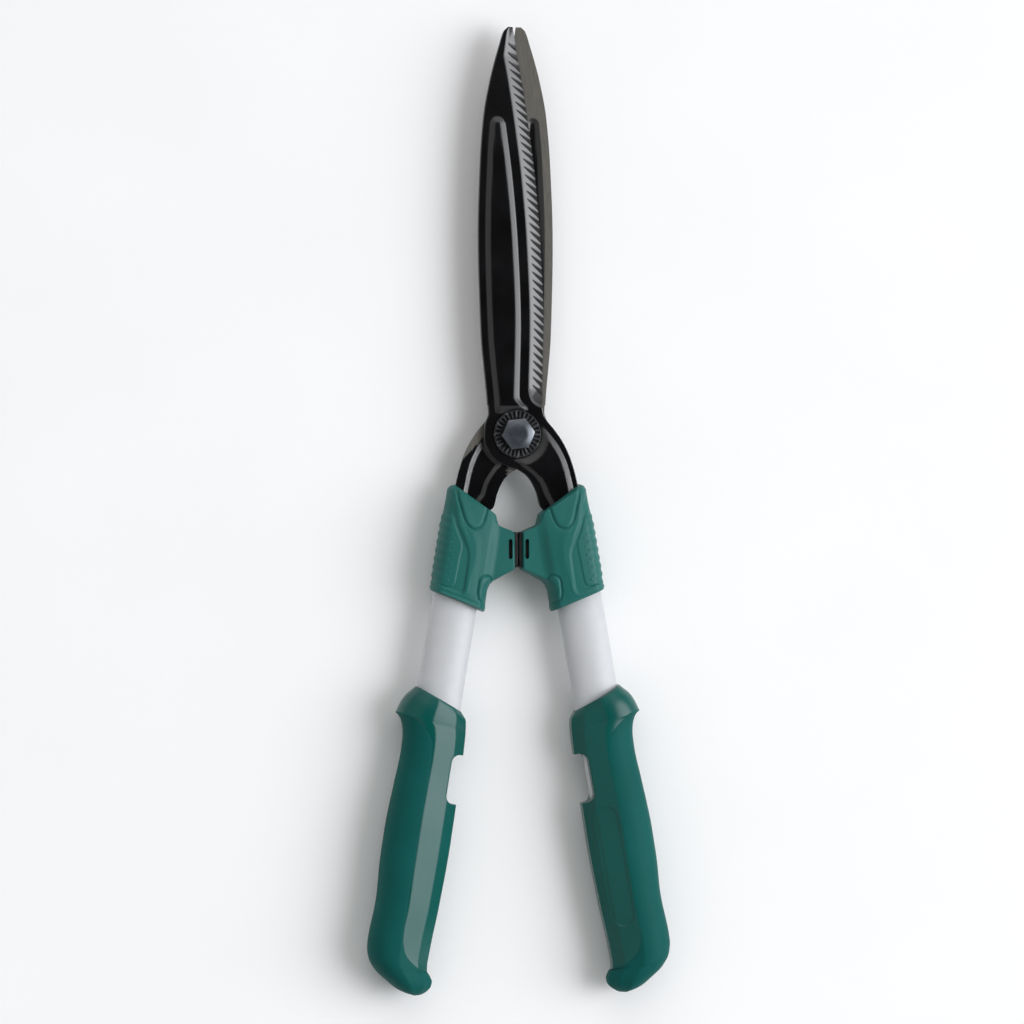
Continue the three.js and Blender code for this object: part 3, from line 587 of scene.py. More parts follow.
class BladeShape:
    def __init__(self):
        s = sizes()
        self.length = mm(s.blade_length)
        self.inner = mm(s.blade_gap) / 2
        self.steel = mm(s.steel)
        self.bevel = mm(s.bevel_width)
        self.rib = mm(s.rib_height)
        self.pitch = mm(s.flute_pitch)
        self.depth = mm(s.flute_depth)
        self.back_offset, self.edge_offset = mm(s.back_offset), mm(s.edge_offset)
        self.first_flute = 0.985 * self.length

    def back(self, y):
        return self.back_offset * BACK_LINE(y / self.length)

    def edge(self, y):
        return self.edge_offset * EDGE_LINE(y / self.length)

    def crest(self, y):
        width = np.minimum(self.bevel, 0.7 * (self.edge(y) - self.back(y)))
        scoop = np.clip((30 - y) / 14, 0, 1)
        return self.edge(y) - width * (1 - scoop ** 2.6) ** (1 / 2.6)

    def rib_sides(self, y):
        width = self.edge(y) - self.back(y)
        bevel = np.minimum(self.bevel, 0.7 * width)
        flat = width - bevel
        left = self.back(y) + np.minimum(4.25, flat * 0.3)
        right = self.edge(y) - bevel - np.minimum(5.3, flat * 0.36)
        return left, right + 5 * np.clip((21.6 - y) / 6.4, 0, 1) ** 1.6

    def rib_inside(self, x, y, narrower=0.0):
        left, right = self.rib_sides(y)
        inside = np.minimum(x - left, right - x)
        low, high = self.rib_sides(np.array(RIB_ROUND))
        radius = (high - low) / 2
        round_end = radius - np.hypot(x - (low + high) / 2, y - RIB_ROUND)
        return np.where(y > RIB_ROUND, round_end, inside) - narrower

    def lift(self, x, y, hollow=False):
        """Height of the pressed rib and tang panel, on the outside or in the hollow."""
        narrow = 0.35 if hollow else 0.0
        from_pivot = np.hypot(x, y)
        rib = self.rib * pressed(self.rib_inside(x, y, narrow), 3.3)
        rib = rib * ease((from_pivot - 13.9) / 1.2) * ease((y - 11.5) / 5.5)
        right = PANEL_RIGHT(y) - (2.4 if hollow else 0.0)
        left = HOLLOW_LEFT(y) if hollow else PANEL_LEFT(y)
        inside = np.minimum((right - x) * 0.85, (x - left) * 0.75)
        tang = TANG_HEIGHT * pressed(inside, 1.9 if hollow else 2.9)
        tang = tang * ease((from_pivot - (17 if hollow else 14.3)) / 5) * ease((6.5 - y) / 7)
        return np.maximum(rib, tang)

    def flutes(self, phase, across):
        """Height of the flutes: a gentle scoop, a steep wall, a raised lip and a sharp dart."""
        dart = np.clip((across - 0.26) / 0.74, 0, 1)
        scoop = np.clip((across - 0.3) / 0.7, 0, 1)
        begin = 0.72 - 0.46 * scoop ** 0.7
        depth = 1.15 * self.depth * scoop ** 0.75
        down = -depth * np.clip((phase - begin) / (0.72 - begin + 1e-6), 0, 1)
        lip, low = 0.07 * dart, -0.34 * np.sqrt(dart)
        wall = -depth + (lip + depth) * (phase - 0.72) / 0.06
        drop = lip + (low - lip) * (phase - 0.78) / 0.06
        rise = low * (1 - (phase - 0.84) / 0.07)
        return np.select([phase <= 0.72, phase <= 0.78, phase <= 0.84, phase <= 0.91],
                         [down, wall, drop, rise], 0.0)


LAND_STEPS = [0, 0.02, 0.05, 0.09, 0.14, 0.3, 0.5, 0.75]
RIB_STEPS = [
    0, 0.02, 0.04, 0.06, 0.08, 0.1, 0.125, 0.15, 0.19, 0.26, 0.38, 0.5, 0.62, 0.74, 0.81, 0.85,
    0.875, 0.9, 0.92, 0.94, 0.96, 0.98
]
CREST_STEPS = [0, 0.2, 0.4, 0.6, 0.8, 0.93]
BEVEL_STEPS = list(np.linspace(0, 0.95, 20)) + [0.98, 0.993, 1.0]
FLUTE_ROWS = [0, 0.12, 0.24, 0.36, 0.48, 0.6, 0.72, 0.78, 0.84, 0.91]


def blade_piece():
    """The right-hand blade: rows from the tip to the tang's tongue, each a ring round its section."""
    shape = BladeShape()
    flute_count = int((shape.first_flute - LAST_FLUTE) / shape.pitch)
    last = shape.first_flute - flute_count * shape.pitch
    rows = [(y, 0.0) for y in np.linspace(shape.length, shape.first_flute, 10)[:-1]]
    rows += [(shape.first_flute - shape.pitch * (n + q), q)
             for n in range(flute_count) for q in FLUTE_ROWS]
    rows += [(y, 0.0) for y in np.linspace(last, FOOT, 22)]
    row_y, phase = np.array(rows).T
    segment = np.concatenate([np.full(len(s), k) for k, s in enumerate(
        (LAND_STEPS, RIB_STEPS, CREST_STEPS, BEVEL_STEPS))])
    share = np.concatenate([LAND_STEPS, RIB_STEPS, CREST_STEPS, BEVEL_STEPS])
    slant = 1.05 * ease((shape.length - row_y) / 5) * ease((row_y - FOOT) / 15)
    ground = np.minimum(shape.bevel, 0.7 * (shape.edge(row_y) - shape.back(row_y)))
    y = row_y[:, None] - (segment == 3) * share * (ground * slant)[:, None]
    y = np.maximum(y, 16.6)
    left, right = shape.rib_sides(y)
    stops = [shape.back(y), left, right, shape.crest(y), shape.edge(y)]
    stops[2] = np.minimum(stops[2], stops[3] - 0.3)
    x = np.zeros_like(y)
    for k in range(4):
        span = stops[k] + share * (stops[k + 1] - stops[k])
        x = np.where(segment == k, span, x)
    across = np.where(segment == 3, share, 0) + 0 * y
    cut_depth = shape.flutes(phase[:, None], across)

    neck = np.array(NECK_SIDES)
    sides = [smooth_line(list(zip(range(len(neck)), neck[:, k]))) for k in range(4)]
    steps = np.linspace(0, len(neck) - 1, 8 * len(neck))
    neck_rows = np.array([side(steps) for side in sides]).T
    tongue = np.array([[*on_handle(-9, t), *on_handle(9, t)] for t in np.linspace(51, 96, 10)])
    neck_rows = np.concatenate([neck_rows, tongue])
    turn = ease(np.linspace(0, 3, len(neck_rows)))[:, None]
    base = shape.edge(FOOT) - shape.back(FOOT)
    first = np.array([(stop[-1, 0] - shape.back(FOOT)) / base for stop in stops[1:4]])
    breaks = first * (1 - turn) + np.array([0.17, 0.88, 0.94]) * turn
    bounds = np.concatenate([np.zeros((len(turn), 1)), breaks, np.ones((len(turn), 1))], axis=1)
    even = np.arange(len(RIB_STEPS)) / len(RIB_STEPS)
    spread = share + np.zeros_like(turn)
    spread[:, segment == 1] += turn * (even - share[segment == 1])
    place = np.zeros((len(turn), len(share)))
    for k in range(4):
        span = bounds[:, k:k + 1] + spread * (bounds[:, k + 1:k + 2] - bounds[:, k:k + 1])
        place = np.where(segment == k, span, place)
    neck_x = neck_rows[:, 0:1] + place * (neck_rows[:, 2:3] - neck_rows[:, 0:1])
    neck_y = neck_rows[:, 1:2] + place * (neck_rows[:, 3:4] - neck_rows[:, 1:2])

    x, y = np.concatenate([x, neck_x]), np.concatenate([y, neck_y])
    width = np.concatenate([stops[4] - stops[0],
                            np.hypot(neck_rows[:, 2] - neck_rows[:, 0],
                                     neck_rows[:, 3] - neck_rows[:, 1])[:, None] + 0 * neck_x])
    from_left = np.concatenate([x[:len(row_y)] - stops[0], place * width[len(row_y):]])
    from_right = np.concatenate([np.full((len(row_y), len(share)), 9.0),
                                 (1 - place) * width[len(row_y):]])
    cuts = np.concatenate([cut_depth, np.zeros_like(neck_x)])

    top = shape.inner + shape.steel
    whole = np.minimum(shape.bevel, 0.7 * np.maximum(shape.edge(y) - shape.back(y), 3.5))
    gap = np.minimum(x, HEEL_LINE(y)) - shape.crest(y)
    lost = CREST_ROUND / 2 - 0.2
    bevel = np.where(gap > CREST_ROUND - 0.2, gap - lost,
                     np.clip(gap + 0.2, 0, CREST_ROUND) ** 2 / (2 * CREST_ROUND)) / (whole - lost)
    bevel = (1.5 - 0.5 * bevel) * bevel * (shape.steel - EDGE_STEEL) * (y > 15.2)
    bevel = np.minimum(bevel, shape.steel - EDGE_STEEL)
    outer = top - bevel + shape.lift(x, y) + cuts
    for gap in (from_left, from_right):
        outer -= 0.5 - np.sqrt(0.25 - np.clip(0.5 - gap, 0, 0.5) ** 2)
    outer = np.maximum(outer, shape.inner + 0.12)
    hollow = shape.lift(x, y, hollow=True)
    lower = shape.inner + hollow * 0.96

    kept = np.r_[0:8:3, 8:30, 30:36:2, 36:len(share) - 1:3, len(share) - 1]
    under = kept[::-1]
    ring_x = np.concatenate([x, x[:, under], x[:, :1]], axis=1)
    ring_y = np.concatenate([y, y[:, under], y[:, :1]], axis=1)
    ring_z = np.concatenate([outer, lower[:, under], outer[:, :1]], axis=1)
    outside_tang = np.where(ring_x > 5, (ring_y + 3.5 + 1.07 * (ring_x - 20.9)) / 0.5, 1)
    bare = np.clip(1 - np.concatenate([outer * 0, hollow[:, under], outer[:, :1] * 0], axis=1) / 0.12,
                   0, 1)
    bare = np.minimum(bare, np.clip(outside_tang, 0, 1))
    bare[:, :x.shape[1]] = 0
    bare[:, -1] = 0
    points = np.stack([ring_x, ring_y, ring_z], axis=2)
    steep, steep_under = [
        np.clip(20 * np.minimum(share_up, 1 - share_up), 0, 1)
        for share_up in (np.clip(height / np.where(y > 9, shape.rib, TANG_HEIGHT), 0, 1)
                         for height in (shape.lift(x, y), hollow))]
    heel = np.clip((27.5 - y) / 3, 0, 1) * (bevel > 0.02)
    rough = np.clip(-cuts / 0.3, 0, 1) + 0.75 * steep + 0.8 * heel + 0.25 * (bevel > 0.02)
    rough = np.concatenate([np.minimum(rough, 1), 0.7 * steep_under[:, under], outer[:, :1] * 0], axis=1)
    piece = skin("blade", points, {"ground": bare, "flute": rough})

    clear_choice()
    bpy.ops.mesh.primitive_cylinder_add(vertices=96, radius=BORE_RADIUS / 1000, depth=BORE_DEPTH / 1000,
                                        location=PIVOT + Vector((0, 0, BORE_DEPTH / 4000)))
    cut(piece, bpy.context.object)
    return piece


# ----- Collars -----

COLLAR_TOP, COLLAR_LONG = 31.7, 63.8
BUMPER_KEY = 4.9, -67.2  # middle of the slot that shows the bumper's key
BUMPER_MIDDLE = -67.6
COLLAR_SLANTS = math.tan(math.radians(25.2)), math.tan(math.radians(14.2))
COLLAR_HALF = smooth_line([(0, 0.62), (0.2, 0.8), (0.42, 0.97), (0.6, 1), (1, 0.96)])
COLLAR_OUT = smooth_line([
    (31.7, 11.0), (32.4, 12.9), (33.6, 14.2), (36, 14.9), (40.4, 14.8), (50.5, 15.2), (55.4, 15.6),
    (66.4, 15.6), (83.4, 15.6), (90.7, 15.2), (92.6, 15.8), (94.3, 15.2), (95.5, 13.2)
])
# The inner side: share of the collar's length against X and Y, round the bumper boss.
COLLAR_INSIDE = [
    (0, 13.5, -46.5), (0.03, 12.4, -47.6), (0.07, 11.9, -49.9), (0.12, 11.2, -53),
    (0.155, 9.3, -54.9), (0.2, 4.1, -56.6), (0.225, 2.6, -57.2), (0.245, 1.95, -58.2),
    (0.6, 1.95, -78.6), (0.62, 2.5, -79.5), (0.76, 14.3, -85.9), (0.8, 16.4, -88),
    (0.84, 17.8, -91.1), (0.93, 19, -99), (0.96, 19.1, -102), (0.985, 19.6, -103.4), (1, 20.3, -103.9)
]
COLLAR_RIDGE = [
    (40.02, -33), (37.39, -42), (35.47, -53), (32.04, -61.5), (30.02, -67), (29.41, -70.3), (30.22, -77.5),
    (32.54, -91), (34.26, -92.9), (36.99, -92.5), (43.05, -89.8), (60, -83), (60, -30)
]
COLLAR_PANEL = [
    (42.04, -40), (39.21, -48), (36.28, -57.5), (34.06, -63.3), (34.06, -66), (36.18, -76), (38.3, -86.5),
    (39.81, -88.6), (42.54, -88.8), (60, -82), (60, -30)
]
COLLAR_PAD = [
    (36, -28), (34.8, -37.9), (33.6, -42), (32.8, -45.5), (31.8, -49.2), (30.2, -52.6), (28, -54.6),
    (25.6, -54.9), (23.4, -53.9), (21.6, -51.4), (20.2, -47.5), (18.8, -42.8), (17.5, -34)
]
COLLAR_TAB = [
    (18.31, -83.6), (20.33, -83.4), (22.75, -84.4), (23.66, -86.6), (24.37, -93), (23.76, -96.2),
    (21.74, -97.6), (19.52, -97), (18.21, -94.6), (17.4, -88), (17.5, -85)
]


def collar_height(x, y, t, d, top_gap, low_gap):
    share = (t - COLLAR_TOP) / 63.6
    sleeve = 13 * COLLAR_HALF(share) * (1 - 0.035 * (d / 8) ** 2)
    boss = 9.0
    inward = ease((d + 19.5) / 7)
    height = boss + (sleeve - boss) * inward
    recess = within(COLLAR_RIDGE, x, y)
    raised = within(COLLAR_PANEL, x, y)
    height -= 0.85 * ease(recess / 1.1 + 0.15)
    height += 0.45 * ease(raised / 0.5 + 0.5)
    ridge = np.abs(recess + 1.4)
    height += 0.25 * ease(1 - ridge / 1.6) * (recess < 0.4)
    for outline, lift in ((COLLAR_PAD, 0.45), (COLLAR_TAB, 0.3)):
        gap = within(outline, x, y)
        height += lift * ease(gap / 1.2 + 0.2) - 0.8 * ease(1 - np.abs(gap + 0.7) / 0.9)
    spine = distance_to([(35, -34), (29, -56), (26.6, -62), (27.2, -74), (30.2, -92)], x, y)
    height += 0.3 * ease(1 - spine / 5) * (recess < 0)
    for start, count in (((38.2, -60.9), 6), ((39.8, -58.4), 6), ((41.4, -60.9), 6)):
        for i in range(count):
            bx, by = start[0] + 0.836 * i, start[1] - 4.826 * i
            height += 0.5 * ease(1 - np.hypot(x - bx, y - by) / 0.7)
    bead = 1.25
    height += 0.45 * ease(1 - np.abs(low_gap - bead) / bead) - 0.3 * ease(1 - np.abs(low_gap - 3.1) / 0.8)
    height += 0.15 * ease(1 - np.abs(top_gap - 1.2) / 1.2)
    return height


def collar_piece():
    ends = np.array([0, 0.05, 0.16, 0.35, 0.6, 0.9, 1.25, 1.6, 2.0])
    body = np.linspace(2.4, COLLAR_LONG - 2.4, 150)
    along = np.concatenate([ends, body, COLLAR_LONG - ends[::-1]]) / COLLAR_LONG
    inside = np.array(COLLAR_INSIDE)
    inner_x, inner_y = np.interp(along, inside[:, 0], inside[:, 1]), \
        np.interp(along, inside[:, 0], inside[:, 2])
    outer_t = COLLAR_TOP + along * COLLAR_LONG
    outer_d = COLLAR_OUT(outer_t)
    scallop = 0.5 + 0.5 * np.cos(2 * math.pi * (outer_t - 51.3) / 4.88)
    outer_d = outer_d + 0.5 * scallop * ((outer_t > 48.5) & (outer_t < 91))
    outer_x, outer_y = on_handle(outer_d, outer_t)
    turn = np.linspace(0, math.pi / 2, 16)
    rim = 1 - np.cos(turn)
    near_in = np.array([0.0, 0.03, 0.1, 0.22, 0.42, 0.7, 1.1, 1.7])
    width = np.hypot(outer_x - inner_x, outer_y - inner_y)[:, None]
    first = rim * 7.0 / width
    last = 1 - near_in[::-1] / width
    middle = first[:, -1:] + (last[:, :1] - first[:, -1:]) * np.linspace(0, 1, 72)[1:-1]
    share = np.concatenate([first, middle, last], axis=1)
    x = outer_x[:, None] + share * (inner_x - outer_x)[:, None]
    y = outer_y[:, None] + share * (inner_y - outer_y)[:, None]
    d, t = in_handle(x, y)
    top_gap = (t - (COLLAR_TOP + (14.3 - d) * COLLAR_SLANTS[0])) * 0.9
    low_gap = ((95.4 + (13.2 - d) * COLLAR_SLANTS[1]) - t) * 0.97
    along = along[:, None]
    top_gap, low_gap = np.maximum(top_gap, along * 60), np.maximum(low_gap, (1 - along) * 62)
    height = collar_height(x, y, t, d, top_gap, low_gap)
    from_out, from_in = share * width, (1 - share) * width
    in_radius = np.interp(along, [0, 0.12, 0.2, 0.6, 0.72, 0.85, 1], [5, 3, 1.1, 1.1, 3, 6, 6])
    height = height * shoulder(from_out, 7.0) * shoulder(from_in, in_radius)
    height = height * shoulder(along * COLLAR_LONG, 1.5) * shoulder((1 - along) * COLLAR_LONG, 1.5)
    height = np.clip(height, 0, 13.0)
    ring_x = np.concatenate([x, x[:, ::-1]], axis=1)
    ring_y = np.concatenate([y, y[:, ::-1]], axis=1)
    ring_z = np.concatenate([height, -height[:, ::-1]], axis=1)
    piece = skin("collar", np.stack([ring_x, ring_y, ring_z], axis=2))
    cut(piece, stadium("window", *BUMPER_KEY, 2.3, 11.6, 12))
    return piece


def stadium(name, x, y, width, long, high):
    """A round-ended upright block, as high above the middle plane as it is deep below it."""
    clear_choice()
    bpy.ops.mesh.primitive_cylinder_add(vertices=48, radius=width / 2000, depth=2 * high / 1000)
    piece = bpy.context.object
    piece.name = name
    reach = (long - width) / 2000
    for vertex in piece.data.vertices:
        vertex.co.y += reach if vertex.co.y > 0 else -reach
    piece.data.transform(Matrix.Translation(PIVOT + Vector((x, y, 0)) / 1000))
    return piece


def bumper_piece():
    clear_choice()
    bpy.ops.mesh.primitive_cube_add(size=1)
    piece = bpy.context.object
    piece.scale = (0.0030, 0.0208, 0.0140)
    piece.location = PIVOT + Vector((1.65, BUMPER_MIDDLE, 0)) / 1000
    bpy.ops.object.transform_apply(location=True, rotation=True, scale=True)
    in_edit(piece, lambda: bpy.ops.mesh.subdivide(number_cuts=3))
    round_edges(piece, 0.9, 40, segments=4)
    for vertex in piece.data.vertices:
        off = abs(vertex.co.y - PIVOT.y - BUMPER_MIDDLE / 1000)
        if vertex.co.x < PIVOT.x + 0.0012:
            vertex.co.x += max(0.0, off - 0.0072) ** 2 * 70
    key = stadium("key", *BUMPER_KEY, 2.2, 11.5, 6.6)
    round_edges(key, 0.3, 40)
    choose(piece)
    key.select_set(True)
    bpy.ops.object.join()
    return piece


# ----- Grips and palm pads -----

PALM_LINE = smooth_line([
    (-0.02, 13.4), (0, 14.7), (0.044, 20.2), (0.067, 22.1), (0.0985, 23.9), (0.1, 24), (0.102, 23.3),
    (0.1045, 22.4), (0.12, 20), (0.147, 18.2), (0.173, 17.5), (0.22, 17.2), (0.32, 18.2), (0.47, 19.4),
    (0.57, 19.2), (0.71, 17.8), (0.83, 18.75), (0.858, 18.55), (0.897, 16.8), (0.936, 11.5), (0.966, 3.6),
    (0.984, -1.9), (0.991, -5.4), (0.9945, -8.2), (0.9965, -11.2)
])
FINGER_LINE = smooth_line([
    (-0.02, 13.2), (0.003, 13.9), (0.041, 17), (0.0985, 18), (0.187, 18.8), (0.37, 19.4), (0.52, 19.7),
    (0.7, 18.9), (0.832, 17.7), (0.886, 17.5), (0.91, 17.9), (0.928, 20.2), (0.945, 21.8), (0.96, 21.7),
    (0.973, 20.5), (0.984, 18.7), (0.991, 17), (0.9945, 15.8), (0.9965, 14)
])
GRIP_HALF = smooth_line([
    (-0.02, 0.9), (0.085, 0.93), (0.14, 0.91), (0.25, 0.9), (0.45, 1), (0.9, 1), (0.94, 0.95),
    (0.965, 0.85), (0.985, 0.66), (1, 0.3)
])
# The soft pad's edge: distance along the handle against distance out from its axis.
PAD_EDGE = smooth_line([
    (168.8, 15.8), (169.7, 14.4), (172.1, 10.2), (174.9, 6.4), (178.4, 3.4), (182.2, 1.4), (185, 0.9),
    (197, 0.1), (236, 0.6), (288, 0.8), (297, 0.3), (304, -1.5), (308.2, -4.5), (311.1, -8.2),
    (313.5, -12.5), (315, -17), (316.5, -24)
])
GRIP_TOP, GRIP_LONG, PAD_TOP = 151.4, 178.6, 168.8
GRIP_SLANT = math.tan(math.radians(20.6))
NOTCH = (187.0, 216.0, 12.1)
RECESS = (-7.7, 255.2, 6.5, 35.4)


def grip_section(t, steps=240):
    """Dense half outline of each section, from the finger side over the top to the palm."""
    share = (t - GRIP_TOP) / GRIP_LONG
    palm, finger = PALM_LINE(share), -FINGER_LINE(share)
    half = 16 * GRIP_HALF(share)
    turns = np.radians(np.linspace(90, 0, 40))
    crown, width = finger + 0.56 * (palm - finger), palm - finger
    line_x = [finger, finger, finger + 0.18 * width, finger + 0.51 * width]
    line_z = [0 * half, 0.3 * half, 0.7 * half, half]
    line_x += [crown + (palm - crown) * np.cos(a) ** 0.9 for a in turns]
    line_z += [half * np.sin(a) ** 0.9 for a in turns]
    xs, zs = np.stack(line_x, axis=-1), np.stack(line_z, axis=-1)
    out_x, out_z = np.empty(t.shape + (steps,)), np.empty(t.shape + (steps,))
    kernel = np.hanning(9)[1:-1]
    kernel /= kernel.sum()
    pad = len(kernel) // 2
    for index in np.ndindex(t.shape):
        x, z = xs[index], zs[index]
        run = np.concatenate([[0], np.cumsum(np.hypot(np.diff(x), np.diff(z)))])
        at = np.linspace(0, run[-1], steps)
        x, z = np.interp(at, run, x), np.interp(at, run, z)
        long_x = np.concatenate([x[pad:0:-1], x, x[-2:-pad - 2:-1]])
        long_z = np.concatenate([-z[pad:0:-1], z, -z[-2:-pad - 2:-1]])
        out_x[index] = np.convolve(long_x, kernel, "valid")
        out_z[index] = np.convolve(long_z, kernel, "valid")
    return out_x, out_z


def grip_rows():
    """Distances along the handle, closer together where the shape turns quickly."""
    spots = [PAD_TOP, NOTCH[0], NOTCH[0] + 2, NOTCH[1] - 2, NOTCH[1], 238 - 15, 290, 312, 318, 326,
             329.5]
    rows, t = [], GRIP_TOP
    while t < GRIP_TOP + 0.9955 * GRIP_LONG:
        rows.append(t)
        t += min(1.1, max(0.16, 0.14 + 0.22 * min(abs(t - spot) for spot in spots)))
    return np.array(rows + [GRIP_TOP + 0.9965 * GRIP_LONG])


def grip_surface():
    """Rows of points over half the grip, with a column along the pad's edge."""
    rows = grip_rows()
    rows = np.sort(np.concatenate([rows, [PAD_TOP]]))
    sec_x, sec_z = grip_section(rows)
    steps = sec_x.shape[1]
    side, cover = 46, 46
    share_edge = np.empty(len(rows))
    for i, t in enumerate(rows):
        edge = PAD_EDGE(max(t, PAD_TOP))
        share_edge[i] = np.interp(edge, sec_x[i], np.linspace(0, 1, steps)) if edge > sec_x[i][0] \
            else 0.0
    share_edge = np.clip(share_edge, 0.0, 0.9)
    before = np.linspace(0, 1, side)[None, :] * share_edge[:, None]
    after = share_edge[:, None] + np.linspace(0, 1, cover)[None, :] * (1 - share_edge[:, None])
    return rows, sec_x, sec_z, before, after


def sample(values, share):
    steps = values.shape[1]
    grid = np.linspace(0, 1, steps)
    return np.array([np.interp(share[i], grid, values[i]) for i in range(len(values))])


def grip_points(rows, sec_x, sec_z, share, inset):
    """Points on the grip's upper half, moved in by the inset along the section's normal."""
    step = 0.004
    x, z = sample(sec_x, share), sample(sec_z, share)
    ahead, behind = np.clip(share + step, 0, 1), np.clip(share - step, 0, 1)
    tx, tz = sample(sec_x, ahead) - sample(sec_x, behind), sample(sec_z, ahead) - sample(sec_z, behind)
    size = np.maximum(np.hypot(tx, tz), 1e-6)
    x, z = x + inset * tz / size, np.maximum(z - inset * tx / size, 0)
    z[:, -1] = np.where(share[:, -1] >= 1, 0, z[:, -1])
    into = np.minimum(rows - NOTCH[0], NOTCH[1] - rows)[:, None]
    corner = np.clip(into, 0, 5.0)
    limit = -NOTCH[2] - 5.0 + np.sqrt(np.maximum(25 - (5.0 - corner) ** 2, 0))
    bare = (into > 0) & (rows[:, None] > 0)
    rim = np.clip(1 - (x - limit) / 0.9, 0, 1)
    z0 = np.where(bare, z - 0.7 * (1 - np.sqrt(1 - rim * rim)), z)
    z0 = np.maximum(z0, np.where(z > 0.01, 0.01, 0))
    x0 = np.where(bare, np.maximum(x, limit), x)
    reach = np.clip((rows - GRIP_TOP) / 40, 0, 1)[:, None]
    slant = GRIP_SLANT * (14.6 - x0) * (1 - reach) ** 2.2
    t = rows[:, None] + np.where(rows[:, None] < GRIP_TOP + 40, slant, 0)
    return x0, t, z0


def relief(x, t, top):
    """Depth of the sunk panel on the outer face."""
    mid_d, mid_t, half_d, half_t = RECESS
    gap = half_d - np.hypot(x - mid_d, np.maximum(np.abs(t - mid_t) - half_t + half_d, 0))
    panel = np.where(np.abs(t - mid_t) < half_t - half_d, half_d - np.abs(x - mid_d), gap)
    return 0.65 * ease(panel / 0.9 + 0.3) * top


def chamfer(x, t):
    """The rim facet that runs beside the slanted top."""
    from_top = (t - (GRIP_TOP + GRIP_SLANT * (14.6 - x))) * 0.94
    fall = np.clip(1 - from_top / 8.8, 0, 1)
    rim = np.clip(1 - from_top / 0.9, 0, 1)
    return 0.7 * fall ** 1.6 + 1.3 * rim ** 2.4


def to_pivot(x, t, z):
    px, py = on_handle(x, t)
    return np.stack([px, py, z], axis=2)


def grip_piece():
    rows, sec_x, sec_z, before, after = grip_surface()
    share = np.concatenate([before, after], axis=1)
    cover = after.shape[1]
    under = np.zeros_like(share)
    under[:, -cover:] = (rows > PAD_TOP)[:, None] * 1.0
    inset = under * 1.3
    rings = []
    for sign, top in ((1, 1.0), (-1, 0.0)):
        x, t, z = grip_points(rows, sec_x, sec_z, share, inset)
        z = np.maximum(z - relief(x, t, top) * (z > 2), 0)
        z = z * (1 - chamfer(x, t) / 16)
        rings.append(to_pivot(x, t, sign * z))
    ring = np.concatenate([rings[0], rings[1][:, ::-1]], axis=1)
    top_row = ring[:1]
    bore = []
    half_w, half_t = mm(sizes().tube_width) / 2 + 0.15, mm(sizes().tube_thickness) / 2 + 0.15
    flat_x, _ = in_handle(top_row[0, :, 0], top_row[0, :, 1])
    angle = np.arctan2(top_row[0, :, 2] / half_t, flat_x / half_w)
    for deep in (0.0, 0.4, 12.0, 24.0):
        bx, bz = half_w * np.cos(angle), half_t * np.sin(angle)
        plane = GRIP_TOP + GRIP_SLANT * (14.6 - bx)
        bore.append(to_pivot(bx[None], (plane + deep)[None], bz[None])[0])
    ring = np.concatenate([np.array(bore[::-1]), ring])
    piece = skin("grip", ring)
    return piece


def pad_piece():
    rows, sec_x, sec_z, _, after = grip_surface()
    keep = rows >= PAD_TOP - 1e-6
    rows, sec_x, sec_z, after = rows[keep], sec_x[keep], sec_z[keep], after[keep]
    layers = []
    for inset in (0.0, 1.25):
        edge = np.linspace(0, 1, after.shape[1])[None, :] * (1 - after[:, :1]) * 20
        lip = 0.14 * np.clip(1 - edge / 0.5, 0, 1) * (after[:, :1] > 0.001) if inset == 0 else 0
        x, t, z = grip_points(rows, sec_x, sec_z, after, inset + lip)
        up, down = to_pivot(x, t, z), to_pivot(x, t, -z)
        layers.append(np.concatenate([up, down[:, -2::-1]], axis=1))
    outer, inner = layers
    ring = np.concatenate([outer, inner[:, ::-1], outer[:, :1]], axis=1)
    return skin("palm_pad", ring)


# ----- Tubes -----


TUBE_START, TUBE_LONG, TUBE_WALL = 52, 250, 1.3


def tube_piece():
    s = sizes()
    clear_choice()
    bpy.ops.mesh.primitive_circle_add(vertices=128, radius=0.5, fill_type="NOTHING")
    piece = bpy.context.object
    piece.scale = (s.tube_width, s.tube_thickness, 1)
    bpy.ops.object.transform_apply(location=True, rotation=True, scale=True)
    in_edit(piece, lambda: lengthen(TUBE_LONG), pick_all, face_out)
    apply_modifier(piece, "SOLIDIFY", thickness=TUBE_WALL / 1000, offset=-1)
    round_edges(piece, 0.3, 50)
    start = on_handle(0, TUBE_START)
    lay = Matrix.Rotation(math.pi / 2, 4, "X")
    lean = Matrix.Rotation(s.handle_angle, 4, "Z")
    place = Matrix.Translation(PIVOT + Vector((start[0], start[1], 0)) / 1000)
    piece.data.transform(place @ lean @ lay)
    return piece


# ----- Pivot hardware -----


HEAD_TURN = 6  # degrees the hexagon stands round from the X axis
# The top of the bolt head: share of half the spanner size against the drop from the top.
HEAD_DOME = [
    (1.3, 2.45), (1.155, 1.65), (1, 0.94), (0.95, 0.78), (0.9, 0.64), (0.85, 0.51), (0.8, 0.39),
    (0.75, 0.29), (0.7, 0.2), (0.65, 0.13), (0.6, 0.075), (0.54, 0.03), (0.48, 0.006), (0.44, 0),
    (0.4, 0), (0, 0)
]
DISC_LOW, DISC_HIGH = 3.35, 4.95
SLOT_PITCH, SLOT_WIDTH, SLOT_DEPTH = 12.0, 7.5, 1.3  # degrees, degrees, mm
SLOT_IN, SLOT_OUT, SLOT_END = 0.0043, 0.0005, 0.0005  # from the rim, and the rounded end, in metres


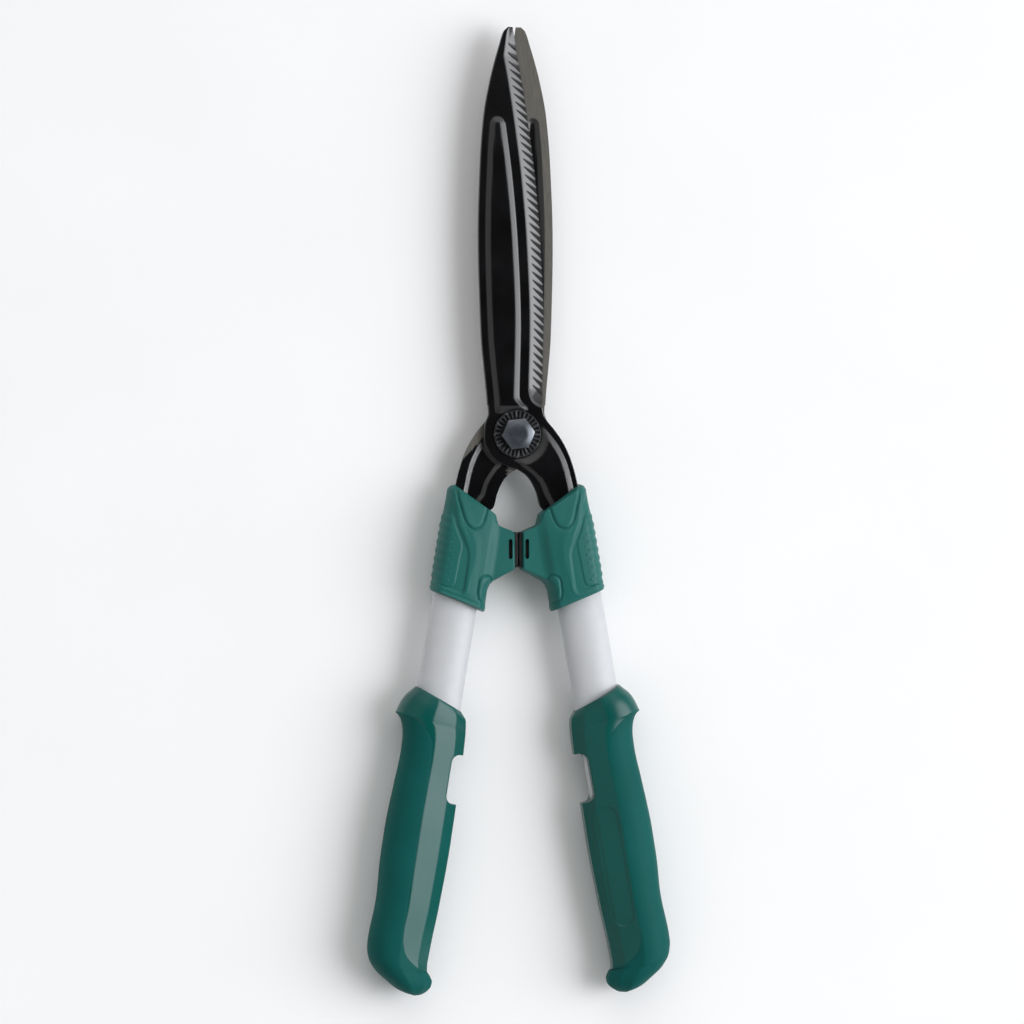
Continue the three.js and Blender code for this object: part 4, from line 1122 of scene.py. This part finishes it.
def hexagon(name, low, high):
    """A hexagon of the spanner size between two heights, in millimetres."""
    clear_choice()
    across, low, high = sizes().spanner_size, low / 1000, high / 1000
    bpy.ops.mesh.primitive_cylinder_add(vertices=6, radius=across / math.sqrt(3), depth=high - low)
    piece = bpy.context.object
    piece.name = name
    turn = math.radians(HEAD_TURN + 30)
    piece.data.transform(Matrix.Translation(PIVOT + Vector((0, 0, (high + low) / 2)))
                         @ Matrix.Rotation(turn, 4, "Z"))
    return piece


def bolt_piece():
    """The domed hexagon head, with a stem whose lower end is ringed like a thread."""
    half = mm(sizes().spanner_size) / 2
    seat, top = 5.0, 11.4
    head = hexagon("bolt_head", seat, top)
    dome = turned_ring("dome", [(0, seat - 1), (half * 1.3, seat - 1)]
                       + [(half * out, top - down) for out, down in HEAD_DOME])
    cut(head, dome, "INTERSECT")
    round_edges(head, 0.3, 28, segments=3)
    profile = [(0, seat + 0.5), (5, seat + 0.5), (5, -6)]
    for z in np.arange(-6.0, -15.0, -1.25).tolist():
        profile += [(5, z), (4.35, z - 0.5), (5, z - 1.0)]
    profile += [(4.2, -16), (0, -16)]
    stem = turned_ring("stem", profile)
    choose(head)
    stem.select_set(True)
    bpy.ops.object.join()
    return head


def disc_piece():
    s = sizes()
    clear_choice()
    low, high = DISC_LOW / 1000, DISC_HIGH / 1000
    bpy.ops.mesh.primitive_cylinder_add(vertices=240, radius=s.disc_width / 2, depth=high - low,
                                        end_fill_type="NGON")
    piece = bpy.context.object
    in_edit(piece, lambda: bpy.ops.mesh.select_all(action="DESELECT"))
    for face in piece.data.polygons:
        face.select = face.normal.z > 0.9
    in_edit(piece, *[lambda step=step: bpy.ops.mesh.inset(thickness=step)
                     for step in (SLOT_OUT, SLOT_END, SLOT_IN - SLOT_OUT - 2 * SLOT_END, SLOT_END)],
            whole=False)
    rim = s.disc_width / 2
    for face in piece.data.polygons:
        radius = math.hypot(face.center.x, face.center.y)
        angle = math.degrees(math.atan2(face.center.y, face.center.x)) % SLOT_PITCH
        in_slot = face.normal.z > 0.9 and rim - SLOT_IN < radius < rim - SLOT_OUT
        at_end = min(rim - SLOT_OUT - radius, radius - rim + SLOT_IN) < SLOT_END
        face.select = in_slot and (1.5 < angle < SLOT_WIDTH - 1.5 if at_end else angle < SLOT_WIDTH)
        face.material_index = 1 if in_slot and not face.select and angle > SLOT_WIDTH else 0
    in_edit(piece, lambda: lengthen(-SLOT_DEPTH), pick_all, face_out, whole=False)
    piece.data.transform(Matrix.Translation(PIVOT + Vector((0, 0, (high + low) / 2))))
    round_edges(piece, 0.12, 40)
    return piece


def nut_piece():
    half = mm(sizes().spanner_size) / 2
    low, high = -14.85, -6.85
    nut = hexagon("lock_nut", low, high)
    crown = turned_ring("crown", [
        (0, low), (half * 0.78, low), (half * 0.84, low + 0.5), (half * 0.86, low + 2.0),
        (half * 1.0, low + 2.3), (half * 1.17, low + 3.0), (half * 1.17, high - 1), (half * 0.96, high),
        (0, high)
    ])
    cut(nut, crown, "INTERSECT")
    bore = turned_ring("bore", [(0, low - 1), (5.15, low - 1), (5.15, high + 1), (0, high + 1)])
    cut(nut, bore)
    round_edges(nut, 0.25, 30)
    return nut


# ----- Operators -----


VIEW_SIDE, VIEW_ROLL = math.radians(8.0), math.radians(-0.3)  # seen a little from the left
VIEW_TARGET, VIEW_DISTANCE = Vector((-0.00275, -0.00072, 0.016)), 3.328
# Soft lights in the dome: way, where each begins and is full as a cosine, and brightness.
DOME_GLOWS = (
    ((0, 0, 1), 0.8, 0.93, (0.01, 0.01, 0.01, 1)),
    ((0, 0.8, 0.6), 0.64, 0.95, (1.15, 1.15, 1.15, 1)),
    ((-0.8, 0, 0.6), 0.6, 0.95, (0.5, 0.5, 0.5, 1)),
    ((0.77, 0, 0.64), 0.85, 0.99, (3.9, 3.98, 4.15, 1)),
)


class SHEARS_OT_blades(bpy.types.Operator):
    """Model the two ribbed and fluted blades with their tangs"""

    bl_idname = "shears.blades"
    bl_label = "Blades"

    def execute(self, context):
        return make_pair(blade_piece, 38, "blade", blade_finish())


class SHEARS_OT_pivot(bpy.types.Operator):
    """Model the bolt, the toothed lock disc and the nut, and finish the small pivot parts"""

    bl_idname = "shears.pivot"
    bl_label = "Pivot hardware"

    def execute(self, context):
        c = colours()
        dark = metal_finish("phosphated bolt", c.bolt, 0.26, 0.7, 0.3)
        black = metal_finish("black lock disc", (0.008, 0.009, 0.01), 0.3, 0.2, 0.3)
        tooth = metal_finish("rubbed teeth", (0.03, 0.034, 0.04), 0.4, 0.3, 0.3)
        zinc = metal_finish("zinc plating", c.zinc, 0.3, 1.0, 0.1)
        nylon = moulded_finish("nylon", (0.62, 0.6, 0.5), 0.5, 1400.0, 0.1)
        for make, node, slot, material in (
            (bolt_piece, "pivot_bolt", "bolt_steel", dark),
            (disc_piece, "toothed_lock_disc", "disc_steel", (black, tooth)),
            (nut_piece, "lock_nut", "zinc_steel", zinc),
        ):
            piece = make()
            soften(piece, 32)
            settle(piece, node + "_shape", "rear_arm", [node], material)
        for node, material in (
            ("pivot_bush", zinc), ("back_washer", zinc), ("spring_washer", zinc),
            ("friction_washer", nylon), ("nut_locking_ring", nylon),
        ):
            dress(node, material)
        return {"FINISHED"}


def dress(node, material):
    """Gives a CAD node that stays in view its finish."""
    mesh = frame["nodes"][node].data
    mesh.materials.clear()
    mesh.materials.append(material)


class SHEARS_OT_tubes(bpy.types.Operator):
    """Model the oval aluminium tubes, and finish the sleeves and rivets inside them"""

    bl_idname = "shears.tubes"
    bl_label = "Handle tubes"

    def execute(self, context):
        c = colours()
        lean = sizes().handle_angle
        satin = metal_finish("satin aluminium", c.tube, 0.5, 0.05, 0.03,
                             brushed=(900.0, (14.0, 0.3, 14.0), -lean), clouds=0.02)
        done = make_pair(tube_piece, 40, "tube", satin)
        sleeve = moulded_finish("sleeve moulding", (0.5, 0.5, 0.47), 0.55, 1500.0, 0.1)
        rivet = metal_finish("rivet steel", c.zinc, 0.32, 1.0, 0.1)
        for side in ARMS:
            dress(f"{side}_tang_sleeve", sleeve)
            for number in (1, 2):
                dress(f"{side}_rivet_{number}", rivet)
        return done


class SHEARS_OT_collars(bpy.types.Operator):
    """Model the moulded collars over the joints of tang and tube"""

    bl_idname = "shears.collars"
    bl_label = "Collars"

    def execute(self, context):
        finish = moulded_finish("collar plastic", colours().collar, 0.44, 1300.0, 0.12, 0.01, 0.27)
        return make_pair(collar_piece, 50, "collar", finish)


class SHEARS_OT_bumpers(bpy.types.Operator):
    """Model the rubber bumpers between the collars"""

    bl_idname = "shears.bumpers"
    bl_label = "Bumpers"

    def execute(self, context):
        finish = moulded_finish("bumper rubber", colours().rubber, 0.55, 1600.0, 0.15, 0.01, 0.25)
        return make_pair(bumper_piece, 40, "bumper", finish)


class SHEARS_OT_grips(bpy.types.Operator):
    """Model the hard grip mouldings with flange, facets, window and end hook"""

    bl_idname = "shears.grips"
    bl_label = "Grips"

    def execute(self, context):
        finish = moulded_finish("grip plastic", colours().grip, 0.24, 900.0, 0.05, 0.005, 0.34)
        return make_pair(grip_piece, 45, "grip", finish)


class SHEARS_OT_palm_pads(bpy.types.Operator):
    """Model the soft palm pads over the grips"""

    bl_idname = "shears.palm_pads"
    bl_label = "Palm pads"

    def execute(self, context):
        finish = moulded_finish("soft palm pad", colours().pad, 0.55, 1500.0, 0.25, 0.01, 0.08)
        return make_pair(pad_piece, 50, "palm_pad", finish)


class SHEARS_OT_stage(bpy.types.Operator):
    """Lay the pale floor, and set the studio lights and the camera"""

    bl_idname = "shears.stage"
    bl_label = "Floor, lights and camera"

    def execute(self, context):
        clear_choice()
        bpy.ops.mesh.primitive_plane_add(size=8, location=(0, 0, -0.0003))
        floor = context.object
        floor.name = "floor"
        material, nodes, shader = new_material("pale floor")
        tint = nodes.blend(nodes.spread(nodes.grain(9.0), 0.3, 0.7), (0.95, 0.95, 0.95, 1),
                           (0.97, 0.97, 0.97, 1))
        nodes.put(shader, "Base Color", tint)
        shader.inputs["Roughness"].default_value = 0.9
        shader.inputs["Specular IOR Level"].default_value = 0.1
        floor.data.materials.append(material)
        clear_choice()
        where = Vector((1.48, 0.0, 1.2))
        bpy.ops.object.light_add(type="AREA", location=where)
        light = context.object
        light.name = "main softbox"
        light.data.shape = "RECTANGLE"
        light.data.size, light.data.size_y = 1.05, 2.0
        light.data.energy = 10.0
        light.rotation_euler = where.to_track_quat("Z", "Y").to_euler()
        world = bpy.data.worlds.new("studio dome")
        world.use_nodes = True
        sky = Nodes(world.node_tree)
        way = sky.add("ShaderNodeTexCoord").outputs["Generated"]
        glow = (0.39, 0.39, 0.396, 1)
        for toward, wide, near, light_there in DOME_GLOWS:
            dot = sky.add("ShaderNodeVectorMath")
            dot.operation = "DOT_PRODUCT"
            sky.put(dot, 0, way)
            sky.put(dot, 1, toward)
            share = sky.spread(dot.outputs["Value"], wide, near)
            share.node.interpolation_type = "SMOOTHSTEP"
            glow = sky.blend(share, glow, light_there)
        sky.put(world.node_tree.nodes["Background"], "Color", glow)
        context.scene.world = world
        context.scene.view_settings.view_transform = "Standard"
        clear_choice()
        bpy.ops.object.camera_add(location=VIEW_TARGET + VIEW_DISTANCE * Vector(
            (-math.sin(VIEW_SIDE), 0, math.cos(VIEW_SIDE))))
        camera = context.object
        camera.rotation_euler = (Matrix.Rotation(-VIEW_SIDE, 3, "Y")
                                 @ Matrix.Rotation(VIEW_ROLL, 3, "Z")).to_euler()
        camera.data.lens = 200
        camera.data.sensor_width = 36
        context.scene.camera = camera
        return {"FINISHED"}


STEPS = (
    SHEARS_OT_stage, SHEARS_OT_blades, SHEARS_OT_pivot, SHEARS_OT_tubes, SHEARS_OT_collars,
    SHEARS_OT_bumpers, SHEARS_OT_grips, SHEARS_OT_palm_pads
)


class SHEARS_PT_panel(bpy.types.Panel):
    """Sizes, colours and building steps of the shears"""

    bl_idname = "SHEARS_PT_panel"
    bl_label = "Hedge shears"
    bl_space_type = "VIEW_3D"
    bl_region_type = "UI"
    bl_category = "Shears"

    def draw(self, context):
        for settings in (context.scene.shears_sizes, context.scene.shears_colours):
            column = self.layout.column(align=True)
            for key in settings.bl_rna.properties.keys():
                if key not in ("rna_type", "name"):
                    column.prop(settings, key)
        for step in STEPS:
            self.layout.operator(step.bl_idname)


CLASSES = (ShearsSizes, ShearsColours, *STEPS, SHEARS_PT_panel)


def register():
    for one in CLASSES:
        bpy.utils.register_class(one)
    bpy.types.Scene.shears_sizes = bpy.props.PointerProperty(type=ShearsSizes)
    bpy.types.Scene.shears_colours = bpy.props.PointerProperty(type=ShearsColours)


def unregister():
    del bpy.types.Scene.shears_colours
    del bpy.types.Scene.shears_sizes
    for one in reversed(CLASSES):
        bpy.utils.unregister_class(one)


def main():
    register()
    for step in STEPS:
        group, name = step.bl_idname.split(".")
        getattr(getattr(bpy.ops, group), name)()


if __name__ == "__main__":
    main()
